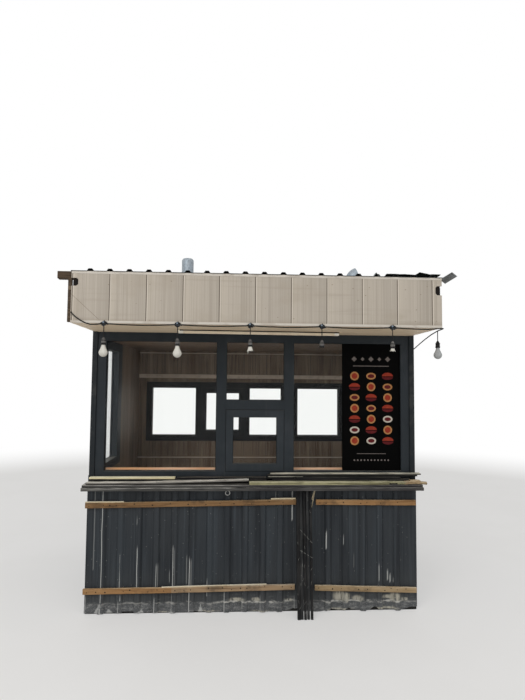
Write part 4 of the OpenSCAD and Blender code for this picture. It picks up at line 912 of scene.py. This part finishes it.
def loose_boards():
    """The boards and offcuts that lie on the counter. Lengths here are in millimetres."""
    low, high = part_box("counter_boards")
    sill = high.z / MM
    # Heights of the second, third and top layer
    pack, third, top = 32, 49.3, 63.6
    # Front edges of the back row and of the front row, and the rows' ends
    back = -HALF_D / MM - 62
    row = low.y / MM + 12
    left, meet, right, end = -1287, -50, 100, 1305
    depth = 58

    def loose(bm, x0, x1, y, z, t, seed, rise=0, wobble=1.2, deep=depth, wear=1.8, index=0):
        mid_y = y + deep / 2
        mid_z = sill + z + t / 2
        beam(bm, mm(x0, mid_y, mid_z), mm(x1, mid_y, mid_z + rise), mm(0, deep, 0), mm(0, 0, t), seed,
             wobble=wobble, wear=wear, index=index)

    dark = bmesh.new()
    loose(dark, left - 6, meet, row, 0, 7, 1)
    loose(dark, left, meet, back, 0, 15, 2)
    loose(dark, left + 30, meet - 20, back + 3, 15.5, 15, 2.5)
    loose(dark, -610, 90, back, pack, 13.5, 3, wobble=2.4)
    loose(dark, -40, 90, back, 0, 31, 4)
    loose(dark, right, end - 20, back, 0, 15, 5)
    loose(dark, right + 40, end - 60, back + 2, 15.5, 15, 6)
    loose(dark, right, 314, back, pack, 16, 7, wobble=1.6)
    loose(dark, right, end, back + 10, third, 12.5, 8, deep=depth - 10)
    object_from(dark, "dark_boards_dressed", DARK_BOARD, replaced="dark_boards")
    grey = bmesh.new()
    loose(grey, left, -757, row, 8, 11, 11, rise=2, wobble=1.8)
    loose(grey, -755, meet, row + 1, 10, 12, 12, rise=18, wobble=1.8)
    loose(grey, 324, 1165, back, pack, 15, 13, index=1)
    object_from(grey, "grey_boards_dressed", [GREY_BOARD, DARK_BOARD], replaced="grey_boards")
    thin = bmesh.new()
    loose(thin, 122, 1331, back, top, 10.5, 14, wobble=0.5, wear=1.6)
    loose(thin, 104, 380, back + 1, pack + 15, 4, 15, wobble=0.8, wear=1)
    object_from(thin, "thin_top_boards", THIN_BOARD)
    pale = bmesh.new()
    loose(pale, left, left + 661, back, pack, 13, 21, wobble=0.8)
    object_from(pale, "pale_strip", PALE_BOARD)
    green = bmesh.new()
    loose(green, meet + 4, 1052, row - 8, 0, 22, 22, wobble=2)
    loose(green, 1052, 1186, row - 4, 12, 9, 23, wobble=1.6, deep=50)
    loose(green, 1120, 1186, row, 3, 8, 24, wobble=1.6, deep=40)
    object_from(green, "pale_slab", GREEN_BOARD, replaced="pale_boards")
    # A rough offcut in three lumps: left and right end, heights of both, depth, thickness, wear
    lump = bmesh.new()
    for number, (x0, x1, z0, z1, deep, t, wear) in enumerate((
            (1176, 1262, 12, 16, 50, 24, 5), (1222, 1304, 20, 17, 44, 34, 8),
            (1280, 1358, 15, 7, 40, 24, 8))):
        beam(lump, mm(x0, row + 22, sill + z0), mm(x1, row + 22, sill + z1), mm(0, deep, 0), mm(0, 0, t),
             31 + number, step=0.008, wear=wear, wobble=min(wear, 7))
    object_from(lump, "rough_offcut", RAW_LUMP)


counter()
loose_boards()


def gaskets_and_shadow_gaps():
    """Black rubber round every pane, and black strips round the sashes and the door leaf that stand for their
    seals and paint the shade in the gaps round them.
    """
    bm = bmesh.new()
    frame_low, frame_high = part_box("front_window_frame")
    rail = 82 * MM
    mullion = 80 * MM
    sash = 58.5 * MM
    sill, head = frame_low.z + rail, frame_high.z - rail
    outer, hatch = 1195 * MM, 234 * MM
    transom, transom_top = 1577 * MM, 1658 * MM
    glass_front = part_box("front_glass")[0].y
    # The left pane, the right pane, the one over the hatch, and the one in the hatch's sash
    for low, high in (((-outer, sill), (-hatch - mullion, head)), ((hatch + mullion, sill), (outer, head)),
                      ((-hatch, transom_top), (hatch, head)),
                      ((-hatch + sash, sill + sash), (hatch - sash, transom - sash))):
        seal_ring(bm, low, high, "Y", glass_front - SEAL, glass_front - 0.2 * MM)

    def side_ring(node, sign):
        low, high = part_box(node)
        face = sign * high.x
        seal_ring(bm, (low.y + REBATE, low.z + REBATE), (high.y - REBATE, high.z - REBATE), "X",
                  face + sign * 0.2 * MM, face + sign * SEAL)

    side_ring("side_window_glass", -1)
    side_ring("side_window_glass", 1)
    back_z0, back_z1 = 1210 * MM, 1735 * MM
    back_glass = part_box("back_glass")[1].y
    # The bays of the back windows: left x, right x and the sash's width, in millimetres
    for x0, x1, inset in ((-1080, -600, 0), (-537, -58, 55.5), (5, 361, 0), (548, 1012, 0)):
        inset *= MM
        seal_ring(bm, (x0 * MM + inset, back_z0 + inset), (x1 * MM - inset, back_z1 - inset), "Y",
                  back_glass + 0.2 * MM, back_glass + SEAL)
    side_ring("door_glass", 1)
    # Black strips round the hatch's sash, the door leaf and a back sash: painted shade in the gaps round them
    face = frame_low.y
    seal_ring(bm, (-hatch - SEAL, sill - SEAL), (hatch + SEAL, transom + SEAL), "Y", face - 0.4 * MM,
              face + 0.2 * MM)
    leaf_low, leaf_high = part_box("door_leaf")
    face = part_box("door_frame")[1].x
    seal_ring(bm, (leaf_low.y - SEAL, leaf_low.z - SEAL), (leaf_high.y + SEAL, leaf_high.z + SEAL), "X",
              face - 0.2 * MM, face + 0.4 * MM)
    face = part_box("back_window_frames")[1].y
    seal_ring(bm, (-540 * MM, back_z0 - SEAL), (-55 * MM, back_z1 + SEAL), "Y", face - 0.2 * MM,
              face + 0.4 * MM)
    object_from(bm, "window_gaskets_and_shadow_gaps", GASKET_AND_SHADE)


gaskets_and_shadow_gaps()
softened(PROFILE, "frame_profile", 1.6 * MM, "front_window_frame", "side_window_frames", "door_frame")
softened(INNER_PROFILE, "frame_profile", 1.6 * MM, "back_window_frames")
softened(SASH, "frame_profile", 1.6 * MM, "hatch_sash", "door_leaf")
softened(STEEL, "steel_frame", 2 * MM, "corner_posts")
softened(SUNLIT_SILL, "window_board", 3 * MM, "inner_sill")
softened(MENU_BLACK, "menu_panel", 0.6 * MM, "menu_board")
keep(GLASS, "front_glass", "side_window_glass", "back_glass", "door_glass")
keep(HANDLE, "door_handle")
keep(RING, "hanging_ring")


def menu_design():
    """Plain shapes on the menu board, in a layout of their own, with no lettering."""
    low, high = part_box("menu_board")
    face = low.y - 0.5 * MM
    middle = (low.x + high.x) / 2
    bm = bmesh.new()

    def flat(points, color, lift=0.0):
        rings = [[bm.verts.new((x, y, z)) for x, z in points] for y in (face - lift, face + 0.45 * MM)]
        bm.faces.new(rings[0]).material_index = color
        for (a, b), (c, d) in zip(*(zip(ring, ring[1:] + ring[:1]) for ring in rings)):
            bm.faces.new((a, c, d, b)).material_index = color

    def round_shape(x, z, rx, rz, color, start=0.0, end=2 * pi, lift=0.0, sides=28):
        angles = [start + (end - start) * k / sides for k in range(sides + (0 if end - start > 6.2 else 1))]
        flat([(x + rx * cos(a), z + rz * sin(a)) for a in angles], color, lift)

    def bar(half, z, height):
        left, right = middle - half, middle + half
        flat([(left, z), (right, z), (right, z + height), (left, z + height)], GREY)

    # A row of lozenges over a rule
    for k in range(-2, 3):
        x, z, r = middle + k * 0.07, high.z - 0.125, 0.016 + 0.006 * (k % 2 == 0)
        flat([(x - r, z), (x, z - r), (x + r, z), (x, z + r)], GREY)
    bar(0.15, high.z - 0.185, 0.006)
    # A grid of rings, buns and ovals in turn
    for r in range(7):
        for c in range(3):
            x = middle + (c - 1) * (high.x - low.x) * 0.285
            z = high.z - 0.265 - r * 0.088
            kind = (r + 2 * c) % 3
            if kind == 0:
                round_shape(x, z, 0.036, 0.036, TAN)
                round_shape(x, z, 0.024, 0.024, RED, lift=0.1 * MM)
            elif kind == 1:
                round_shape(x, z, 0.046, 0.030, RED, 0, pi)
                round_shape(x, z - 0.006, 0.046, 0.024, WINE, pi, 2 * pi)
            else:
                round_shape(x, z, 0.040, 0.028, CREAM if r > 3 else TAN)
                round_shape(x, z, 0.027, 0.016, WINE, lift=0.1 * MM)
    # A rule over a row of dots
    bar(0.12, low.z + 0.135, 0.004)
    for k in range(-5, 6):
        round_shape(middle + k * 0.028, low.z + 0.085, 0.007, 0.007, GREY, sides=12)
    object_from(bm, "menu_design", MENU_COLORS)


menu_design()

keep(SHEET, "left_sheets", "right_sheets", "back_sheet")
keep(WALL_CORE, "front_wall", "left_wall", "right_wall", "back_wall")
keep(BASE_STEEL, "base_frame")
keep(FLOOR_BOARD, "floor_deck")
keep(LINING, "wall_linings")
keep(CEILING, "ceiling")


def room_trims():
    """A rail and two thin lines on the back wall's lining."""
    wall = 809 * MM
    half = 1228 * MM
    bm = bmesh.new()
    for z, height, proud in ((1.843, 42 * MM, 5 * MM), (0.962, 9 * MM, 7 * MM), (2.118, 8 * MM, 9 * MM)):
        block(bm, (-half, wall - proud, z), (half, wall - 0.2 * MM, z + height))
    object_from(bm, "room_trims", ROOM_TRIM, bevel=1 * MM)


def sheet_screws():
    """Rows of screws in the valleys of the side and back sheets, clear of the windows and the door."""
    bm = bmesh.new()

    def screw(place, normal):
        disc(bm, place, 6 * MM, normal, 3.5 * MM, sides=6)

    proud = 1.4 * MM
    # Each side wall: the part under its window ends, and the part of full height starts
    for sign, low_end, full_start in ((-1, -0.105, -0.105), (1, -0.06, 0.775)):
        y = -HALF_D + 70 * MM + RIB_PITCH / 2
        while y < HALF_D - 20 * MM:
            if y < low_end or y > full_start:
                for z in (0.12, 0.55, 1.0) + ((1.5, 2.1) if y > full_start else ()):
                    screw((sign * (HALF_W + proud), y, z), (sign, 0, 0))
            y += RIB_PITCH
    x = -HALF_W + 64 * MM + RIB_PITCH / 2
    while x < HALF_W - 20 * MM:
        for z in (0.12, 0.62, 1.1, 1.86, 2.14):
            screw((x, HALF_D + proud, z), (0, 1, 0))
        x += RIB_PITCH
    object_from(bm, "sheet_screws", SCREW_HEAD)


def soffit_boards():
    """The canopy's underside, in long boards with open joints."""
    low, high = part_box("soffit")
    boards = 6
    depth = (-HALF_D - low.y) / boards
    half_gap = 1.5 * MM
    inset = 4 * MM
    inner_half = 1265 * MM
    bm = bmesh.new()
    for i in range(boards):
        y = low.y + i * depth
        block(bm, (low.x, y + half_gap, low.z + 0.8 * MM * (i % 2)), (high.x, y + depth - half_gap, high.z))
    block(bm, (-inner_half, -HALF_D, low.z), (inner_half, high.y, high.z))
    block(bm, (low.x + inset, low.y + inset, high.z - 3 * MM), (high.x - inset, -HALF_D, high.z - 0.5 * MM))
    object_from(bm, "soffit_dressed", SOFFIT, replaced="soffit", bevel=1.2 * MM)


room_trims()
sheet_screws()
soffit_boards()
keep(FASCIA, "fascia", "roof_sides")
keep(SHADED_ROOF_TIMBER, "roof_rafters", "roof_uprights", "purlins")
keep(ROOF_SHEET, "roof_sheet")
softened(TRIM, "white_trim", 0.7 * MM, "fascia_trims")
softened(END_TIMBER, "raw_timber", 2 * MM, "roof_end_timbers")
keep(ZINC, "roof_vents")


def loose_felt():
    """Dark felt on the roof, creased, with torn edges."""
    low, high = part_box("loose_roof_sheet")
    drop = (high.z - low.z) / (high.y - low.y)
    nx, ny = 60, 70
    bm = bmesh.new()
    columns = []
    for i in range(nx + 1):
        column = []
        for j in range(ny + 1):
            x = low.x + (high.x - low.x) * i / nx
            y = low.y + (high.y - low.y) * j / ny
            edge = min(i, nx - i) / 6
            x += 6 * MM * ripple(y * 22, i * 0.02, 1) * max(0.0, 1 - edge) - (i == nx) * 2 * MM
            lift = 6 * MM * (1 + ripple(x * 9, y * 7, 4)) + 2 * MM * ripple(x * 40, y * 33, 9)
            column.append(bm.verts.new((x, y, high.z - (y - low.y) * drop + max(0.5 * MM, lift))))
        columns.append(column)
    span_columns(bm, columns)
    object_from(bm, "loose_felt", FELT, replaced="loose_roof_sheet", smooth_angle=60,
                thickness=2 * MM)


def roof_scraps():
    """A scrap of felt that lifts at the right end, and a folded scrap of metal behind the top trim."""
    bm = bmesh.new()
    # In millimetres: the felt's left and right end with their heights, its front edge and its rows
    left, left_z, right, right_z = 1155, 2604, 1296, 2578
    front, pitch = -1455, 20
    columns = []
    for i in range(13):
        part = i / 12
        x = left + (right - left) * part
        z = left_z + (right_z - left_z) * part + 3 * ripple(part * 5, 0, 2)
        columns.append([bm.verts.new(mm(x, front + pitch * j + 5 * ripple(part * 6, j, 4),
                                        z + 2 * ripple(part * 9, j * 0.7, 7))) for j in range(7)])
    span_columns(bm, columns)
    object_from(bm, "felt_scrap", FELT, smooth_angle=60, thickness=2 * MM)
    bm = bmesh.new()
    tip = mm(823, -1488, 2583)
    # Its two feet, to the left and to the right of the tip
    for x in (802, 845):
        foot = mm(x, -1496, 2552)
        across = mm(0, 46, 0)
        beam(bm, foot, tip, across, (tip - foot).normalized().cross(across.normalized()) * 1.6 * MM, x * MM,
             step=0.005, wear=0.5, wobble=1.2)
    object_from(bm, "folded_scrap", FLASHING)


def shaded_corner_backing():
    """Timber behind the fascia's broken corners, near-black as painted shade, so that they show dark."""
    bm = bmesh.new()
    y = -1486
    for seed, x0, x1, z0, z1 in ((3, -1286, -1150, 2420, 2424), (4, 1150, 1287, 2424, 2420)):
        beam(bm, mm(x0, y, z0), mm(x1, y, z1), mm(0, 22, 0), mm(0, 0, 130), seed, wear=3, wobble=2)
    object_from(bm, "shaded_corner_backing", SHADED_ROOF_TIMBER)


def tube_light():
    """A long, slim light under the canopy, with its end caps and a dark strip in front as painted shade, set
    a little askew.
    """
    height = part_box("soffit")[0].z - 12.5 * MM
    left = Vector((-600 * MM, -1112 * MM, height))
    right = Vector((640 * MM, -1066 * MM, height))
    run = (right - left).normalized()
    across = Vector((0, 0, 1)).cross(run).normalized()
    cap, gap = run * 34 * MM, run * 2 * MM
    thick = mm(0, 0, 25)
    body = bmesh.new()
    beam(body, left + cap + gap, right - cap - gap, across * 46 * MM, thick, 2, wear=3, wobble=0.2)
    for start, end in ((left, left + cap), (right - cap, right)):
        beam(body, start, end, across * 48 * MM, thick, 4, step=0.01, wear=2.5, wobble=0.2, index=1)
    object_from(body, "tube_light", TUBE_LIGHT)
    # A dark strip along the light's front, near the soffit: painted shade
    rail = bmesh.new()
    beside = mm(0, 0, 8) - across * 33 * MM
    beam(rail, left + beside + run * 10 * MM, right + beside, across * 7 * MM, mm(0, 0, 7), 6, wear=1,
         wobble=1.2)
    object_from(rail, "tube_light_shade_strip", GASKET_AND_SHADE)


loose_felt()
keep(FLASHING, "verge_flashing")
roof_scraps()
shaded_corner_backing()
tube_light()


# Lights: the cable, its knots, the holders and the bulbs

CABLE_Z = 2191 * MM
CABLE_Y = -1516.3 * MM
CABLE_D = 8 * MM
LAMP_PITCH = 500 * MM
LAMP_X = [-1065 * MM + LAMP_PITCH * i for i in range(5)]
CORNER_LAMP = Vector((1303 * MM, -1400 * MM, CABLE_Z - 6 * MM))
# Lamp parts, in millimetres
LAMP_DROP = 92
CORNER_DROP = 70
HOLDER_H = 50
BULB_R = 30
BULB_H = 82
# The lamps, from the left: two with broken bulbs, one with none, and the last at the corner
MISSING = 3
CORNER = 5
# What is left of a broken bulb: rows of its outline, flare, side that is longer in degrees, by how much
BROKEN = {2: (5, 0.0, 200, 9), 4: (4, 1.5, 330, 3)}
# A holder's finishes: its shell, its dark parts, and a paler ring that is a painted highlight
SHELL, DARK, RING_HIGHLIGHT = range(3)


def cable_route():
    """The cable's points, from the fascia's left end to the right-hand wall."""
    # Where it comes down to the first lamp: x from the lamp and z from the cable's line, in millimetres
    lead = [(-225, 78), (-208, 56), (-168, 26), (-128, 4), (-90, -7), (-48, -5), (-20, -1)]
    route = [Vector((LAMP_X[0] + x * MM, CABLE_Y, CABLE_Z + z * MM)) for x, z in lead]
    sag, sag_end = 8 * MM, 1264 * MM
    for lamp in LAMP_X:
        for k in range(4):
            x = lamp + k * LAMP_PITCH / 4
            if x < sag_end:
                route.append(Vector((x, CABLE_Y, CABLE_Z - sag * sin(pi * k / 4))))
    route += [Vector((x * MM, CABLE_Y + y * MM, CABLE_Z + z * MM))
              for x, y, z in ((1286, 0, 0), (1301, 6, 0), (1303, 20, -1))] + [CORNER_LAMP]
    wall = Vector((1309.3 * MM, -873 * MM, CORNER_LAMP.z))
    wall_drop = 98 * MM
    for k in (0.25, 0.5, 0.75, 1.0):
        route.append(CORNER_LAMP.lerp(wall, k) - Vector((0, 0, wall_drop * k ** 1.3)))
    return route


def knot(bm, x, seed):
    """A lump of tape where a lamp's lead leaves the cable."""
    centre = Vector((x, CABLE_Y - 3 * MM, CABLE_Z + 1 * MM))
    made = bmesh.ops.create_icosphere(bm, subdivisions=3, radius=1.0)
    for vertex in made["verts"]:
        lump = 1.0 + 0.38 * perlin(vertex.co * 2.1 + Vector((seed, 0, 0)))
        vertex.co = centre + mm(vertex.co.x * 22, vertex.co.y * 8, vertex.co.z * 16) * lump
    # Ends of tape that stick out: where to, width, height
    for end, wide, tall in (((-27, 2, -1), 9, 9), ((29, 2, -6), 9, 8), ((4, 0, 22), 6, 5),
                            ((-6, 0, -20), 9, 7)):
        rise = Vector(end).cross(Vector((0, 1, 0))).normalized() * tall * MM
        beam(bm, centre, centre + mm(*end), mm(0, wide, 0), rise, seed + tall, step=0.004, wear=1.6,
             wobble=1.5)


def cable():
    """The cable that carries the lamps, and its knots and clips."""
    route = cable_route()
    curve = bpy.data.curves.new("light_cable_run", "CURVE")
    curve.dimensions = "3D"
    curve.bevel_depth = CABLE_D / 2
    curve.bevel_resolution = 4
    curve.use_fill_caps = True
    spline = curve.splines.new("POLY")
    spline.points.add(len(route) - 1)
    for point, place in zip(spline.points, route):
        point.co = (*place, 1.0)
    curve.materials.append(CABLE)
    obj = bpy.data.objects.new("light_cable_run", curve)
    bpy.context.scene.collection.objects.link(obj)
    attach(obj, "root")
    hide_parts("light_cable")
    bm = bmesh.new()
    for number, x in enumerate(LAMP_X):
        knot(bm, x, number * 1.7)
        disc(bm, (x - 3 * MM, CABLE_Y - 9 * MM, CABLE_Z + 9 * MM), 6.5 * MM, (0, -1, 0.3), 4 * MM, index=1)
    object_from(bm, "cable_knots", KNOT)


def broken_edge(rim, teeth, long_side, reach):
    """Height shifts that leave a bulb's rim jagged and longer on one side."""
    def shift(step, k):
        if step not in (rim - 1, rim):
            return 0.0
        return teeth[k] - reach * max(0.0, cos(2 * pi * k / len(teeth) - long_side)) ** 3
    return shift


def lamps():
    """Each lamp's lead and holder, and what is left of its bulb."""
    globe = [(BULB_R * cos(radians(a)), BULB_R - BULB_H - 1 + BULB_R * sin(radians(a)))
             for a in range(0, -90, -12)]
    whole = [(12, 0), (13, -6), (14.5, -13), (18, -23), (22, -32), (26.5, -41), (29.2, -48)] + globe
    whole.append((0.4, -BULB_H - 0.8))
    holders = bmesh.new()
    bulbs = bmesh.new()
    chance = random.Random(3)
    for i, top in enumerate([Vector((x, CABLE_Y, CABLE_Z)) for x in LAMP_X] + [CORNER_LAMP]):
        corner = i == CORNER
        drop = CORNER_DROP if corner else LAMP_DROP
        shell = DARK if corner else SHELL
        base = top - Vector((0, 0, CABLE_D / 2 + drop * MM))
        lathe(holders, [(3.2, drop), (3.2, 0)], base, segments=10, index=DARK)
        for finish, outline in (
                (shell, [(2.5, 2), (6, 0), (8.6, -4), (13.6, -15), (15.2, -15.5)]),
                (DARK, [(15.2, -15.5), (16.8, -16.5), (16.8, -20), (14.8, -21)]),
                (shell, [(14.8, -21), (14.8, -25.5)]),
                # A paler ring, a painted highlight, on all but the corner holder
                (DARK if corner else RING_HIGHLIGHT, [(14.8, -25.5), (16.4, -26.5), (16.4, -29), (14.8, -30)]),
                (shell, [(14.8, -30), (14.8, -37)]),
                (DARK, [(14.8, -37), (16.9, -38.5), (16.6, -48.8), (14, -50), (10, -42)])):
            lathe(holders, outline, base, index=finish)
        neck = base - mm(0, 0, HOLDER_H - 2)
        if i in BROKEN:
            rim, flare, long_side, reach = BROKEN[i]
            rim_r, rim_z = whole[rim - 1]
            outline = whole[:rim - 1] + [(rim_r + flare, rim_z), (rim_r + flare - 1.3, rim_z), (15, -20),
                                         (11, -12), (0.4, -12)]
            teeth = [chance.uniform(0, 5) for _ in range(32)]
            lathe(bulbs, outline, neck, jag=broken_edge(rim, teeth, radians(long_side), reach))
        elif i != MISSING:
            lathe(bulbs, whole, neck, index=1 if corner else 0)
        if i == 2:
            hang = neck + mm(-14, -6, -40)
            beam(bulbs, hang, hang + mm(-3, 0, -13), mm(7, 0, 0), mm(0, 1.4, 0), 5, step=0.004, wear=0.5,
                 wobble=1.5)
    object_from(holders, "lamp_holders_dressed", SOCKETS, replaced="lamp_holders",
                smooth_angle=40)
    object_from(bulbs, "bulbs_dressed", BULBS, replaced="bulbs", smooth_angle=50)


cable()
lamps()


# Camera, light and floor

def camera():
    """The camera that took the photo."""
    ahead = Vector((sin(CAMERA_TURN), cos(CAMERA_TURN), 0))
    level = Vector((cos(CAMERA_TURN), -sin(CAMERA_TURN), 0))
    forward = ahead * cos(CAMERA_RISE) + Vector((0, 0, sin(CAMERA_RISE)))
    over = level.cross(forward)
    right = level * cos(CAMERA_ROLL) + over * sin(CAMERA_ROLL)
    up = over * cos(CAMERA_ROLL) - level * sin(CAMERA_ROLL)
    data = bpy.data.cameras.new("camera")
    data.sensor_fit = "VERTICAL"
    data.sensor_height = SENSOR_H
    data.sensor_width = SENSOR_H * PHOTO_W_PX / PHOTO_H_PX
    data.lens = FOCAL_PX * SENSOR_H / PHOTO_H_PX
    obj = bpy.data.objects.new("camera", data)
    bpy.context.scene.collection.objects.link(obj)
    obj.matrix_world = Matrix.Translation(CAMERA_AT) @ Matrix((right, up, -forward)).transposed().to_4x4()
    bpy.context.scene.camera = obj


def area_light(name, place, target, size, power):
    data = bpy.data.lights.new(name, "AREA")
    data.shape = "SQUARE"
    data.size = size
    data.energy = power
    obj = bpy.data.objects.new(name, data)
    bpy.context.scene.collection.objects.link(obj)
    aim = (Vector(target) - Vector(place)).to_track_quat("-Z", "Y")
    obj.matrix_world = Matrix.Translation(Vector(place)) @ aim.to_matrix().to_4x4()


def world():
    """White where it is seen, and dimmer as light on the kiosk."""
    studio = bpy.data.worlds.new("studio")
    bpy.context.scene.world = studio
    studio.use_nodes = True
    nodes = Nodes(studio.node_tree)
    background = nodes.tree.nodes["Background"]
    nodes.feed(background.inputs["Color"], (1.0, 1.0, 1.0, 1.0))
    nodes.feed(background.inputs["Strength"], nodes.seen_share(0.58, 1.0))


def ground():
    """A pale floor that keeps the kiosk's shadow and fades to the background far away."""
    finish = Finish("floor_pale", (226, 224, 220), 0.9, specular=0.1)
    finish.stain((232, 230, 227), finish.noise(0.7, detail=3), 0.4, 0.6, 0.5)
    finish.done()
    distance = finish.add("ShaderNodeVectorMath", {0: finish.position}, operation="LENGTH").outputs["Value"]
    share = finish.math("MAXIMUM", finish.mask(distance, 4.0, 11.0), finish.seen_share(0.0, 0.4))
    finish.give_way(share, finish.add("ShaderNodeEmission"))
    bm = bmesh.new()
    bmesh.ops.create_circle(bm, cap_ends=True, segments=96, radius=60.0)
    mesh = bpy.data.meshes.new("floor")
    bm.to_mesh(mesh)
    bm.free()
    mesh.materials.append(finish.material)
    obj = bpy.data.objects.new("floor", mesh)
    bpy.context.scene.collection.objects.link(obj)


camera()
world()
ground()
area_light("key", (-3.2, -6.5, 4.2), (0, -0.8, 1.2), 3.0, 92)
area_light("fill", (5.0, -5.5, 3.0), (0, -0.8, 1.2), 4.5, 24)
area_light("sky", (0, -5.8, 6.2), (0, -0.9, 1.2), 5.0, 70)

bpy.context.scene.view_settings.view_transform = "Standard"
